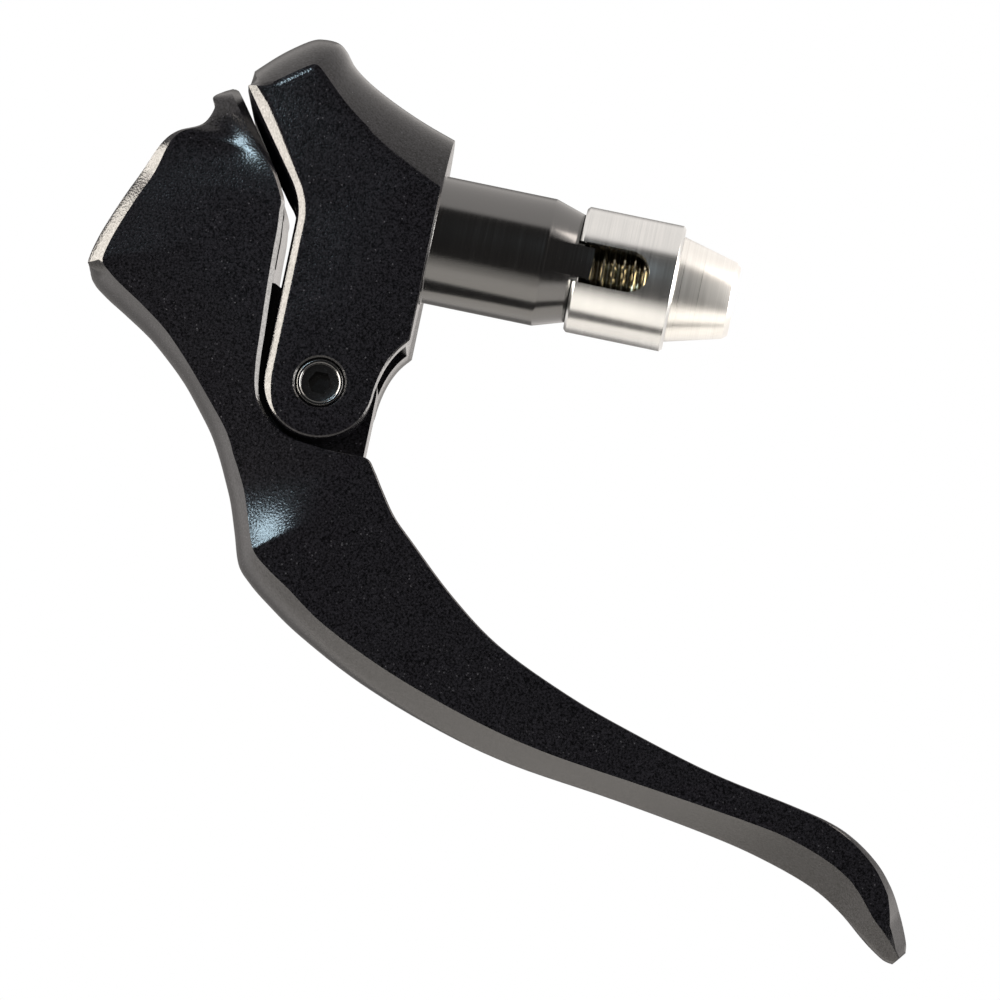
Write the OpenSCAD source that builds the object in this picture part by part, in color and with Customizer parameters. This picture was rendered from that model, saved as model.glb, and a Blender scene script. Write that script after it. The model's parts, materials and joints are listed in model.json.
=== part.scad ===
// Bar-end clutch lever: a lever on a bracket whose barrel plugs into the end of a handlebar.
// Millimetres. The origin is where the barrel's axis meets the face that stops at the bar's end.
// X runs along the barrel into the bar, Z is up, and the lever swings about an axis along Y.

/* [Mounting barrel] */
// Diameter of the barrel, a sliding fit in the bar
barrel_d = 18.6; // [17:0.1:21]
// Length of the straight part of the barrel
barrel_len = 16.2; // [12:0.1:40]
// Half angle of the cone at the barrel's end
cone_angle = 17.5; // [14:0.5:20]
// Length of the cone
cone_len = 5.4; // [4.8:0.1:6]
// Width of the two keys that stop the sleeve from turning
key_w = 4.5; // [3:0.1:5]
// How far the keys reach past the straight part
key_reach = 6.9; // [6.2:0.1:8]
// How much lower the keys are than the barrel's surface
key_under = 0.2; // [0.1:0.1:0.6]
// Step from the barrel to the wider spigot that seats it in the bracket
spigot_step = 0.3; // [0.2:0.1:0.6]
// Depth of that spigot
spigot_len = 5; // [3:0.1:6]

/* [Expander] */
// Distance from the cone's start to the edge of the sleeve
sleeve_setback = 4.6; // [4.2:0.1:4.7]
// How much thinner the sleeve is than the barrel
sleeve_under = 0.2; // [0.2:0.1:0.6]
// Length of the sleeve
sleeve_len = 14.5; // [13:0.1:20]
// Chamfer at the sleeve's ends
sleeve_chamfer = 0.4; // [0.2:0.1:0.8]
// Width of the sleeve's slots
slot_w = 6; // [5.4:0.1:7]
// Length of the slots, round end included
slot_len = 10.6; // [8:0.1:11]
// Diameter of the nut's shank, pressed in the sleeve
nut_shank_d = 14; // [12.6:0.1:14.6]
// Length of that shank
nut_shank_len = 3; // [2:0.1:3.2]
// Diameter of the tapered nose at the sleeve
nose_base_d = 15.4; // [15:0.1:17]
// Diameter of the nose at its tip
nose_tip_d = 11.2; // [11:0.1:14]
// Length of the nose
nose_len = 8.8; // [6:0.1:14]

/* [Expander bolt] */
// Thread diameter of the bolt
bolt_d = 10; // [9:0.1:10.4]
// Pitch of the thread
thread_pitch = 1.5; // [1:0.25:2]
// Length of thread up to the bolt's end
thread_len = 24; // [20:0.5:30]
// How far the bolt's end lies inside the nose
bolt_setback = 1.2; // [0.8:0.1:3]
// Diameter of the bolt's head
bolt_head_d = 14; // [13:0.1:15]
// Height of the bolt's head
bolt_head_h = 6; // [5.5:0.1:7]
// Width across flats of the hex socket
bolt_hex = 8; // [6:0.5:10]
// Depth of the hex socket
bolt_hex_depth = 4; // [3:0.1:5]
// Bore for the inner cable
cable_bore_d = 2.4; // [2:0.1:3]
// Bore in the bolt's end that holds the cable's housing
housing_d = 5.2; // [4.2:0.1:5.6]
// Depth of the housing's bore
housing_depth = 12; // [8:0.5:15]
// Thickness of the washer under the head
washer_t = 1.5; // [1:0.1:2]

/* [Bracket] */
// Width of the bracket
bracket_w = 23; // [22:0.1:28]
// Width of the slot between the cheeks
fork_gap = 11; // [10:0.1:13]
// Distance of the pivot in front of the stop face
pivot_back = 11.3; // [10.6:0.1:13]
// Distance of the pivot below the barrel's axis
pivot_drop = 24.9; // [24.4:0.1:30]
// Radius of the cheeks' round ends
cheek_r = 8.1; // [7.6:0.1:8.6]
// How far the cheeks' edges lean in from the middle to the side faces
edge_draft = 0.9; // [0.5:0.1:1.5]
// Height of the crown above the barrel's axis
crown_h = 25.2; // [23:0.1:30]
// Height of the stop face above the barrel's axis
stop_top = 14.6; // [13.4:0.1:16]
// Depth of the stop face below the barrel's axis
stop_bottom = 15.6; // [15:0.1:15.9]
// How far the bracket's beak reaches in front of the stop face
beak_reach = 30.4; // [29:0.1:34]
// Wall between the bolt head's recess and the barrel's spigot
recess_floor = 4; // [3:0.1:5]

/* [Pivot] */
// Diameter of the screw's shank
pivot_d = 5; // [4:0.1:5.6]
// Diameter of the screw's head
pivot_head_d = 7; // [6.6:0.1:7.6]
// Height of the screw's head
pivot_head_h = 3.4; // [2.5:0.1:4]
// Width across flats of the screw's hex socket
pivot_hex = 3; // [2.5:0.5:4]
// Diameter of the sleeve nut
pivot_nut_d = 8; // [7.4:0.1:9]
// Height of the sleeve nut
pivot_nut_h = 4; // [3:0.1:4.5]
// Outer diameter of the bushes
bush_d = 8; // [7.4:0.1:9]
// Diameter of the bushes' flanges
bush_flange_d = 12; // [10:0.1:13]
// Thickness of those flanges
bush_flange_t = 0.8; // [0.5:0.1:1]

/* [Lever] */
// Width of the lever's head
lever_w = 23; // [21:0.1:26]
// Gap between the lever and the bracket
swing_gap = 1.4; // [1:0.1:2]
// Distance from the pivot to the tip, along the bar
blade_reach = 98.4; // [85:0.1:115]
// Distance from the pivot to the tip, away from the bar
blade_drop = 63.8; // [58:0.1:70]
// Width of the blade at its tip
tip_w = 8; // [6:0.1:11]
// Distance from the pivot to the front of the head
head_reach = 36.5; // [35:0.1:40]
// Height of the head's top above the pivot
head_rise = 40; // [38.5:0.1:41]
// Diameter of the cable anchor
anchor_d = 9; // [8:0.1:10]
// Length of the cable anchor
anchor_len = 14; // [12:0.1:15]
// Distance of the anchor in front of the stop face
anchor_back = 32.5; // [31:0.1:34]
// Seat for the cable's nipple in the anchor
nipple_d = 6.6; // [5.5:0.1:7]
// Slot that lets the cable swing behind the anchor
cable_slot_w = 3; // [2.5:0.1:4]
// Angle from rest to the grip
pull_angle = 35; // [20:1:38]

/* [Hidden] */

$fn = 64;
// Radial play of a running fit, of a loose fit and of a seat
running = 0.04;
loose = 0.25;
seat = 0.02;
// Overlap that keeps cuts clear of coincident faces
eps = 0.5;

// Places along the barrel's axis
cone_x = barrel_len;
cone_end_x = cone_x + cone_len;
key_end_x = barrel_len + key_reach;
sleeve_x = barrel_len + sleeve_setback;
sleeve_end_x = sleeve_x + sleeve_len;
nose_end_x = sleeve_end_x + nose_len;
bolt_end_x = nose_end_x - bolt_setback;
recess_x = -(spigot_len + recess_floor);
head_x = recess_x - washer_t;
head_end_x = head_x - bolt_head_h;
thread_x = bolt_end_x - thread_len;

// Radii about the barrel's axis
barrel_r = barrel_d / 2;
sleeve_d = barrel_d - sleeve_under;
spigot_r = barrel_r + spigot_step;
key_r = barrel_r - key_under;
cone_slope = tan(cone_angle);
cone_end_r = barrel_r - cone_len * cone_slope;
mouth_r = barrel_r - sleeve_setback * cone_slope + 0.3;
bolt_r = bolt_d / 2;
bolt_hole_r = bolt_r + loose;
nut_thread_r = bolt_r + 2 * running;
nose_lip_x = bolt_end_x + 0.3;
nose_lip_r = housing_d / 2 + 0.2;
sleeve_bore_r = bolt_r + 0.6;
recess_r = bolt_head_d / 2 + 0.6;
washer_r = bolt_head_d / 2 + 0.3;
thread_depth = 0.6 * thread_pitch;

// The pivot and the planes across the width
pivot = [-pivot_back, -pivot_drop];
half_w = bracket_w / 2;
fork_half = fork_gap / 2;
web_half = fork_half - bush_flange_t - running;
front_x = pivot[0] - cheek_r;
lever_back_x = front_x - swing_gap;
recess_arc_r = cheek_r + swing_gap;
bush_r = bush_d / 2;
web_r = cheek_r - 0.6;

// Axis X for a solid drawn along Z, and a side profile drawn in X and Z
module along_x() { rotate([0, 90, 0]) children(); }
module side_plate(width) { rotate([90, 0, 0]) linear_extrude(width, center = true) children(); }
module cross_rod(r, y0, y1) { translate([0, y0, 0]) rotate([-90, 0, 0]) cylinder(r = r, h = y1 - y0); }
module at_pivot() { translate([pivot[0], 0, pivot[1]]) children(); }

// Turned piece about the X axis, from a list of [x, radius]
module turned(profile) {
    rotate([0, 90, 0]) rotate_extrude() polygon([for (p = profile) [p[1], p[0]]]);
}

// Hexagon of a given width across flats
module hexagon(flats) { circle(d = flats / cos(30), $fn = 6); }

function mix(a, b, t) = a + (b - a) * t;
function arc(c, r, a0, a1, n) = [for (i = [0 : n]) c + r * [cos(mix(a0, a1, i / n)), sin(mix(a0, a1, i / n))]];
function curve(p0, p1, p2, n) =
    [for (i = [0 : n]) let (t = i / n) p0 * pow(1 - t, 2) + p1 * 2 * t * (1 - t) + p2 * t * t];
function heading(v) = v / norm(v);
// Point moved into the outline, square to the line through its neighbours
function inset(points, d) = let (n = len(points)) [for (i = [0 : n - 1])
    let (v = heading(points[min(i + 1, n - 1)] - points[max(i - 1, 0)])) points[i] + d * [v[1], -v[0]]];

// Bracket outline, round the front: stop face, round cheek end, front edge and beak
beak = [-beak_reach, 0.69 * crown_h];
bend = [front_x, 0.4];
beak_dir = heading([beak[0] + 0.7, beak[1] - 2.6] - bend);
bend_len = 2.8;
cheek_edge = concat(
    [[0, -stop_bottom]],
    curve([-0.2, -stop_bottom - 0.4], [pivot[0] + cheek_r + 0.3, -stop_bottom - 2.8], pivot + cheek_r * [1, 0], 6),
    arc(pivot, cheek_r, -12, -168, 13),
    curve([front_x, pivot[1]], [front_x, pivot[1] + 6], [front_x, bend[1] - bend_len], 3),
    curve(bend - [0, bend_len - 0.5], bend, bend + bend_len * beak_dir, 5),
    [[beak[0] + 0.7, beak[1] - 2.6]]);
// Outline of the crown, over the top from the beak back to the stop face
crown_x = front_x - 1.6;
crown_top = concat(
    curve(beak, [beak[0] + 0.6, beak[1] + 2.6], [mix(beak[0], crown_x, 0.48), mix(beak[1], crown_h, 0.72)], 4),
    curve([mix(beak[0], crown_x, 0.72), mix(beak[1], crown_h, 0.92)], [crown_x, crown_h + 0.7],
          [crown_x + 2.9, crown_h - 0.7], 5),
    curve([crown_x + 5, crown_h - 2.3], [0.5 * crown_x, mix(stop_top, crown_h, 0.42)], [0, stop_top], 6));
// How far the side face lies inside the crown's outline: at the beak, at the crown, at the stop face
beak_fall = [1.9, -2.3];
crown_fall = [0, -5.3];
stop_fall = [0, -8.1];
top_n = len(crown_top);
crown_side = [for (i = [0 : top_n - 1]) let (t = i / (top_n - 1)) crown_top[i] +
    (t < 0.45 ? mix(beak_fall, crown_fall, t / 0.45) : mix(crown_fall, stop_fall, (t - 0.45) / 0.55))];
bracket_outer = concat(cheek_edge, crown_top);
edge_n = len(cheek_edge);
cheek_side = inset(cheek_edge, edge_draft);
bracket_side = concat([[0, edge_draft - stop_bottom]], [for (i = [1 : edge_n - 1]) cheek_side[i]], crown_side);
// Slices across the width, as shares of the half width
bracket_slices = [-1, -0.92, -0.8, -0.58, -0.3, 0, 0.3, 0.58, 0.8, 0.92, 1];
function edge_share(s) = 1 - abs(s);
function crown_share(s) = 1 - pow(abs(s), 2.2);

// Closed skin over rings of equal length, each a list of [x, y, z]
module skin(rings) {
    n = len(rings[0]);
    m = len(rings);
    points = [for (r = rings) each r];
    sides = [for (k = [0 : m - 2], i = [0 : n - 1]) let (a = k * n + i, b = k * n + (i + 1) % n)
             each [[a, b + n, b], [a, a + n, b + n]]];
    first = [for (i = [0 : n - 1]) i];
    last = [for (i = [0 : n - 1]) m * n - 1 - i];
    polyhedron(points, concat([first], sides, [last]), convexity = 8);
}

module bracket_shell() {
    skin([for (s = bracket_slices) [for (i = [0 : len(bracket_outer) - 1])
        let (share = i < edge_n ? edge_share(s) : crown_share(s), p = mix(bracket_side[i], bracket_outer[i], share))
        [p[0], s * half_w, p[1]]]]);
}

// Web of the lever, between the cheeks: its stop edge, and the roof of the slot above it
web_top = [lever_back_x, pivot[1] + 1.655 * cheek_r];
web_stop = [pivot[0] + 0.31 * cheek_r, pivot[1] + 0.9 * cheek_r];
roof_gap = 0.5;
stop_gap = 0.9;
fork_reach = beak_reach + cheek_r;
fork_roof = [[-fork_reach, web_top[1] + roof_gap], [web_top[0], web_top[1] + roof_gap],
             [web_stop[0], web_stop[1] + stop_gap], [fork_reach, web_stop[1] + stop_gap],
             [fork_reach, pivot[1] - 2 * cheek_r], [-fork_reach, pivot[1] - 2 * cheek_r]];

module bracket() color("#1c1c20") difference() {
    bracket_shell();
    side_plate(fork_gap) polygon(fork_roof);
    turned([[recess_x, 0], [recess_x, recess_r], [-fork_reach, recess_r], [-fork_reach, 0]]);
    turned([[recess_x - eps, 0], [recess_x - eps, bolt_hole_r], [eps, bolt_hole_r], [eps, 0]]);
    turned([[-spigot_len, 0], [-spigot_len, spigot_r + seat], [eps, spigot_r + seat], [eps, 0]]);
    at_pivot() {
        cross_rod(pivot_d / 2 + seat, -half_w - eps, half_w + eps);
        cross_rod(pivot_head_d / 2 + 0.1, -half_w - eps, -half_w + pivot_head_h + 0.2);
        cross_rod(pivot_nut_d / 2 + 0.1, half_w - pivot_nut_h - 0.2, half_w + eps);
    }
}

module mounting_barrel() color("#2b2623") {
    difference() {
        union() {
            turned([[-spigot_len, 0], [-spigot_len, spigot_r], [0, spigot_r], [0, barrel_r],
                    [cone_x, barrel_r], [cone_end_x, cone_end_r], [cone_end_x, 0]]);
            intersection() {
                translate([cone_x - 2, -barrel_d, -key_w / 2]) cube([key_reach + 2, 2 * barrel_d, key_w]);
                turned([[cone_x - 2, bolt_hole_r], [cone_x - 2, key_r], [key_end_x, key_r],
                        [key_end_x, bolt_hole_r]]);
            }
        }
        turned([[-spigot_len - eps, 0], [-spigot_len - eps, bolt_hole_r], [key_end_x + eps, bolt_hole_r],
                [key_end_x + eps, 0]]);
    }
}

module bolt_washer() color("#b9bbbd") turned([[head_x, bolt_hole_r], [head_x, washer_r],
    [recess_x, washer_r], [recess_x, bolt_hole_r]]);

// Thread as a row of sharp rings from the plain shank to the bolt's end
thread_n = floor(thread_len / thread_pitch) - 1;
thread_profile = [for (i = [0 : thread_n - 1]) let (x = thread_x + (i + 0.5) * thread_pitch)
    each [[x, bolt_r - thread_depth], [x + 0.42 * thread_pitch, bolt_r], [x + 0.58 * thread_pitch, bolt_r]]];

module expander_bolt() color("#a99f7c") difference() {
    turned(concat([[head_end_x, 0], [head_end_x, bolt_head_d / 2 - 0.8], [head_end_x + 0.8, bolt_head_d / 2],
                   [head_x, bolt_head_d / 2], [head_x, bolt_r], [thread_x, bolt_r]],
                  thread_profile,
                  [[bolt_end_x - 0.8, bolt_r - thread_depth], [bolt_end_x, bolt_r - thread_depth], [bolt_end_x, 0]]));
    along_x() translate([0, 0, head_end_x - eps]) linear_extrude(bolt_hex_depth + eps) hexagon(bolt_hex);
    turned([[head_end_x - eps, 0], [head_end_x - eps, cable_bore_d / 2], [bolt_end_x + eps, cable_bore_d / 2],
            [bolt_end_x + eps, 0]]);
    turned([[bolt_end_x - housing_depth, 0], [bolt_end_x - housing_depth, housing_d / 2],
            [bolt_end_x + eps, housing_d / 2], [bolt_end_x + eps, 0]]);
}

// Depth of the sleeve's conical mouth, down to its plain bore
mouth_len = (mouth_r - sleeve_bore_r) / cone_slope;

module expander_sleeve() color("#d7d8d8") difference() {
    turned([[sleeve_x, mouth_r], [sleeve_x, sleeve_d / 2 - sleeve_chamfer], [sleeve_x + sleeve_chamfer, sleeve_d / 2],
            [sleeve_end_x - sleeve_chamfer, sleeve_d / 2], [sleeve_end_x, sleeve_d / 2 - sleeve_chamfer],
            [sleeve_end_x, nut_shank_d / 2 + seat], [sleeve_end_x - nut_shank_len, nut_shank_d / 2 + seat],
            [sleeve_end_x - nut_shank_len, sleeve_bore_r], [sleeve_x + mouth_len, sleeve_bore_r]]);
    side_slot();
}

// Slot right through both walls of the sleeve, with a round end
module side_slot() {
    slot_end = sleeve_x + slot_len - slot_w / 2;
    translate([sleeve_x - eps, -sleeve_d, -slot_w / 2]) cube([slot_end - sleeve_x + eps, 2 * sleeve_d, slot_w]);
    translate([slot_end, 0, 0]) cross_rod(slot_w / 2, -sleeve_d, sleeve_d);
}

module nose_nut() color("#dcd8cb") turned([[sleeve_end_x - nut_shank_len, nut_thread_r],
    [sleeve_end_x - nut_shank_len, nut_shank_d / 2], [sleeve_end_x, nut_shank_d / 2], [sleeve_end_x, nose_base_d / 2],
    [nose_end_x - 0.7, nose_tip_d / 2], [nose_end_x, nose_tip_d / 2 - 0.6], [nose_end_x, nose_lip_r],
    [nose_lip_x, nose_lip_r], [nose_lip_x, nut_thread_r]]);

module pivot_screw() color("#17171a") at_pivot() difference() {
    union() {
        cross_rod(pivot_head_d / 2, -half_w + 0.2, -half_w + pivot_head_h + 0.2);
        cross_rod(pivot_d / 2, -half_w + pivot_head_h, half_w - 1);
    }
    translate([0, -half_w, 0]) rotate([-90, 0, 0]) linear_extrude(pivot_head_h - 0.8) hexagon(pivot_hex);
}

module pivot_nut() color("#17171a") at_pivot() difference() {
    cross_rod(pivot_nut_d / 2, half_w - pivot_nut_h - 0.2, half_w - 0.2);
    cross_rod(pivot_d / 2 + seat, -half_w, half_w);
    translate([-pivot_nut_d, half_w - 1, -0.6]) cube([2 * pivot_nut_d, 2, 1.2]);
}

// Flanged bush, its flange against the cheek on the given side, -1 near or 1 far
module pivot_bush(side) color("#b08d4f") at_pivot() mirror([0, side < 0 ? 1 : 0, 0]) difference() {
    union() {
        cross_rod(bush_r, 0.2, web_half + 0.1);
        cross_rod(bush_flange_d / 2, web_half, web_half + bush_flange_t);
    }
    cross_rod(pivot_d / 2 + running, -fork_gap, fork_gap);
}

// Lever stations from the head's top to the blade's tip, about the pivot. Each row is
// [front x, front z, back x, back z, half width at the front, at the back, bevel of the front edge],
// drawn at the nominal sizes and stretched with the head, the blade and the width.
hx = head_reach / 36.5;
hz = head_rise / 40;
bx = blade_reach / 98.4;
bz = blade_drop / 63.8;
hw = lever_w / 2;
wk = lever_w / 23;
gap_x = lever_back_x - pivot[0];
lean_gap = swing_gap - 0.2;
lean_start = bend - pivot + lean_gap * [-beak_dir[1], beak_dir[0]];
lean_bend = lean_start + (gap_x - lean_start[0]) / beak_dir[0] * beak_dir;
lean_top = lean_bend + 0.425 * head_rise * beak_dir;
// Front of the head: [x, z, half width at the front, half width at the back, bevel]
knob_front = [
    [-22.1, 40.0, 4, 4.5, 0.6], [-23.3, 39.4, 5.6, 6.5, 0.8], [-24.0, 37.8, 6.6, 7.8, 1.2],
    [-23.1, 35.9, 7.4, 9, 1.6], [-24.2, 33.2, 8.2, 10.1, 2], [-27.4, 31.5, 8.8, 10.8, 2], [-29.7, 29.7, 9.2, 11.2, 1.6]];
lean_share = [-0.06, 0, 0.14, 0.27, 0.42, 0.62, 0.82];
knob_rows = [for (i = [0 : len(knob_front) - 1]) let (f = knob_front[i], b = mix(lean_top, lean_bend, lean_share[i]))
    [f[0] * hx, f[1] * hz, b[0], b[1], f[2] * wk, f[3] * wk, f[4] * wk]];
// Front of the head beside the straight gap: [x, z, z at the back, half width at the front, bevel]
head_front = [
    [-32.2, 24.6, 24, 9.8, 1.5], [-34.4, 19.6, 20, 10.3, 1.5], [-36.1, 14.5, 15.6, 10.7, 1.5],
    [-36.5, 12.0, 13.2, 10.9, 1.5], [-36.2, 10.0, 11.4, 10.8, 1.6], [-34.6, 7.9, 9, 10.4, 1.9],
    [-30.3, 5.3, 6, 9.6, 2.2], [-26.1, 2.7, 3, 9, 2.3], [-22.5, -0.2, 0, 8.7, 2.3]];
head_rows = [for (f = head_front) [f[0] * hx, f[1] * hz, gap_x, f[2] * hz, f[3] * wk, hw, f[4] * wk]];
// Neck round the cheeks' ends: [x, z, half width at the front]
neck_front = [[-19.5, -3, 8.8], [-16.9, -6, 8.9], [-14.5, -9, 9], [-13.1, -11.2, 9.1]];
neck_step = 19.5;
neck_rows = [for (i = [0 : len(neck_front) - 1])
    let (f = neck_front[i], a = 180 + neck_step * (i + 1), b = recess_arc_r * [cos(a), sin(a)])
    [f[0] * hx, f[1] * hz, b[0], b[1], f[2] * wk, hw, 2.3 * wk]];
shelf_z = 0.2 - recess_arc_r;
// Shoulder: [front x, front z, back x, back z below the shelf, half widths, bevel]
shoulder = [
    [-12.1, -13.0, 3.4, 0.1, 9.2, 11.5, 2.4], [-11.0, -15.2, 7.9, 0.1, 9.4, 11.5, 2.4],
    [-9.8, -18.0, 9.5, -0.4, 9.7, 11.4, 2.5], [-8.6, -21.6, 12.1, -4.2, 10.1, 11.3, 2.7],
    [-7.6, -25.2, 14.4, -7.3, 10.5, 11.1, 3], [-5.7, -28.3, 16.7, -9.4, 10.7, 10.9, 3.3],
    [-2.0, -31.1, 19.5, -12.3, 10.6, 10.6, 3.5]];
root_rows = [for (r = shoulder)
    [r[0] * bx, r[1] * bz, r[2] * bx, r[3] * bz + shelf_z, r[4] * wk, r[5] * wk, r[6] * wk]];
blade_outline = [
    [4.2, -35.1, 24.6, -25.8], [14.1, -40.1, 32.6, -31.4], [26.0, -44.6, 43.5, -36.2],
    [37.6, -47.5, 53.2, -39.4], [53.4, -49.5, 65.7, -42.8], [68.2, -51.7, 77.8, -45.0],
    [76.5, -53.5, 83.9, -46.3], [83.3, -55.6, 87.9, -48.0], [87.8, -58.1, 91.6, -50.6],
    [91.3, -60.9, 94.2, -53.5], [93.2, -62.3, 96.1, -56.5], [95.2, -63.5, 97.8, -60.2], [96.6, -63.8, 98.1, -61.9]];
blade_n = len(blade_outline);
blade_root = 10.3 * wk;
tip_swell = 1.15;
tip_end = 0.65;
function blade_half(i) = tip_w / 2 * (i == blade_n - 1 ? tip_end : 1);
function blade_taper(i) = mix(blade_root, tip_w / 2 * tip_swell, (i + 1) / blade_n);
function blade_bevel(i) = wk * (i < blade_n - 3 ? 3.7 : 2 - 0.6 * (i - blade_n + 3));
blade_rows = [for (i = [0 : blade_n - 1])
    let (r = blade_outline[i], half = i < blade_n - 2 ? blade_taper(i) : blade_half(i))
    [r[0] * bx, r[1] * bz, r[2] * bx, r[3] * bz, half, half, blade_bevel(i)]];
lever_rows = concat(knob_rows, head_rows, neck_rows, root_rows, blade_rows);

// One ring of the lever's skin: the crowned front edge, the side faces and the sharp back edge
front_steps = [0, 0.5, 0.8, 1];
back_bevel = 0.4;
function lever_half_ring(r) = let (f = [r[0], r[1]], b = [r[2], r[3]], run = norm(b - f), d = heading(b - f),
    bevel = min(r[6], 0.45 * run), sharp = min(back_bevel, 0.2 * run))
    concat([for (s = front_steps) let (p = f + d * bevel * pow(s, 2.5)) [p[0], s * r[4], p[1]]],
           [let (p = b - d * sharp) [p[0], r[5], p[1]], [b[0], r[5] - sharp, b[1]]]);
function lever_ring(r) = let (half = lever_half_ring(r), n = len(half))
    concat(half, [for (i = [n - 1 : -1 : 1]) [half[i][0], -half[i][1], half[i][2]]]);

// Smooth curve through the stations
station_steps = 2;
function spline(a, b, c, d, t) =
    0.5 * (2 * b + (c - a) * t + (2 * a - 5 * b + 4 * c - d) * t * t + (3 * b - a - 3 * c + d) * t * t * t);
row_n = len(lever_rows);
smooth_rows = [for (i = [0 : row_n - 2], k = [0 : station_steps - 1])
    spline(lever_rows[max(i - 1, 0)], lever_rows[i], lever_rows[i + 1], lever_rows[min(i + 2, row_n - 1)],
           k / station_steps), lever_rows[row_n - 1]];

// Web that carries the bushes, in the pivot's own axes
web_outline = concat([[gap_x - 4, web_top[1] - pivot[1]], web_top - pivot, web_stop - pivot],
    arc([0, 0], web_r, 60, 0, 6), [[web_r, shelf_z - 1.5], [gap_x + 2, shelf_z - 4], [gap_x - 4, 0]]);

// The anchor's place, about the pivot
anchor = [-anchor_back, 0] - pivot;
pocket_w = anchor_len + 0.6;
pocket_r = anchor_d / 2 + running;
cable_reach = 2 * head_reach;

module lever() color("#16171b") at_pivot() difference() {
    union() {
        skin([for (r = smooth_rows) lever_ring(r)]);
        side_plate(2 * web_half) polygon(web_outline);
    }
    cross_rod(bush_r + seat, -fork_gap, fork_gap);
    // Pocket for the anchor, open at the head's front
    translate([anchor[0], 0, anchor[1]]) {
        cross_rod(pocket_r, -pocket_w / 2, pocket_w / 2);
        translate([-cable_reach, -pocket_w / 2, -pocket_r]) cube([cable_reach, pocket_w, 2 * pocket_r]);
    }
    side_plate(cable_slot_w) polygon([anchor, anchor + [0, 1.5], anchor + [cable_reach, 1.5],
        anchor + cable_reach * [cos(pull_angle), -sin(pull_angle)], anchor - [0, 1.5]]);
}

module cable_anchor() color("#c9b36a") translate([-anchor_back, 0, 0]) difference() {
    cross_rod(anchor_d / 2, -anchor_len / 2, anchor_len / 2);
    turned([[-anchor_d, 0], [-anchor_d, nipple_d / 2], [0.5, nipple_d / 2], [0.5, 0]]);
    turned([[-anchor_d, 0], [-anchor_d, cable_bore_d / 2], [anchor_d, cable_bore_d / 2], [anchor_d, 0]]);
}

bracket();
mounting_barrel();
bolt_washer();
expander_bolt();
expander_sleeve();
nose_nut();
pivot_screw();
pivot_nut();
pivot_bush(-1);  // pivot_bush_near
pivot_bush(1);  // pivot_bush_far
lever();
cable_anchor();
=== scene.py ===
"""Dress the bar-end clutch lever for the camera.

The packed model gives the frame. Each operator builds one piece, or a group of like pieces, in the place
of its CAD node, and the last one sets the stage. Shapes are drawn in millimetres and stored in metres.
"""
import json
import math

import bmesh
import bpy
from mathutils import Matrix, Vector

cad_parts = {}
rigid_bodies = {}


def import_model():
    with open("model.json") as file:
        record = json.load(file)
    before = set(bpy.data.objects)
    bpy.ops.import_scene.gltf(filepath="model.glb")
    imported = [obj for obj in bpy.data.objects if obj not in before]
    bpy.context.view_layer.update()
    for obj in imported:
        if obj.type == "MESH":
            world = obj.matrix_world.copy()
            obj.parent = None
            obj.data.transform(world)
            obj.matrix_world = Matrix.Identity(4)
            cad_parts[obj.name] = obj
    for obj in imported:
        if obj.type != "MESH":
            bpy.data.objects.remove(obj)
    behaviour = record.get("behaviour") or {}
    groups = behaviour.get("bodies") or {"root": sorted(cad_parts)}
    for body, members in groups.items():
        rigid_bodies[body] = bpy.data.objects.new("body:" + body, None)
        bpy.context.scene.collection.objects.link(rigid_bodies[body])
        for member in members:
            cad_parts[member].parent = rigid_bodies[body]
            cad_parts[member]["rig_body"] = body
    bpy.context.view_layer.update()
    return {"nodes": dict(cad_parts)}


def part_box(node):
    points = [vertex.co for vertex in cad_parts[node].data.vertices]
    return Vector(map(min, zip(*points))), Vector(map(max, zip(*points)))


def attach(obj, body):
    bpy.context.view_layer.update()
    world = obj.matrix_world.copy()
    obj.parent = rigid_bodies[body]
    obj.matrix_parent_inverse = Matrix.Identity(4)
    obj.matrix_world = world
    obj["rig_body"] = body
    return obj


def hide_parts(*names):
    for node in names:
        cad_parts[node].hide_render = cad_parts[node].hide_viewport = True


bl_info = {
    "name": "Bar-end clutch lever",
    "version": (1, 0, 0),
    "blender": (4, 5, 0),
    "location": "View3D > Sidebar > Clutch lever",
    "description": "Builds the visible pieces of a bar-end clutch lever round its packed model",
    "category": "Object",
}

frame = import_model()
MM = 0.001


# Places and sizes taken from the frame, in millimetres


def node_box(node):
    """Lowest and highest corner of a CAD node, in millimetres."""
    low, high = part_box(node)
    return low / MM, high / MM


def node_middle(node):
    """Middle of a CAD node's box, in millimetres."""
    low, high = node_box(node)
    return (low + high) / 2


def node_radius(node, axis=2):
    """Half the size of a CAD node's box along an axis, in millimetres."""
    low, high = node_box(node)
    return (high[axis] - low[axis]) / 2


PIVOT = node_middle("pivot_screw")
PIVOT_XZ = Vector((PIVOT.x, PIVOT.z))
HALF_WIDTH = node_box("bracket")[1].y
ANCHOR = node_middle("cable_anchor")

# Sizes that more than one piece uses, in millimetres. CENTER_R stands for the axis of a turned piece.
BOLT_HOLE_R = 5.25
SHANK_HOLE_R = 2.52
BUSH_R = 4.0
CABLE_R = 1.2
CENTER_R = 0.001
# Slope of the barrel's cone, which the sleeve rides up
CONE_SLOPE = math.tan(math.radians(17.5))


# Small drawing helpers


def mix(a, b, t):
    """Value or vector a share t of the way from a to b."""
    return a + (b - a) * t


def ramped(value, start, run):
    """Smooth rise from 0 to 1 while a value passes through a run that begins at start."""
    t = max(0.0, min(1.0, (value - start) / run))
    return t * t * (3 - 2 * t)


def arc(center, radius, start, end, steps):
    """Points of an arc, angles in degrees."""
    points = []
    for i in range(steps + 1):
        angle = math.radians(mix(start, end, i / steps))
        points.append(center + radius * Vector((math.cos(angle), math.sin(angle))))
    return points


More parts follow.
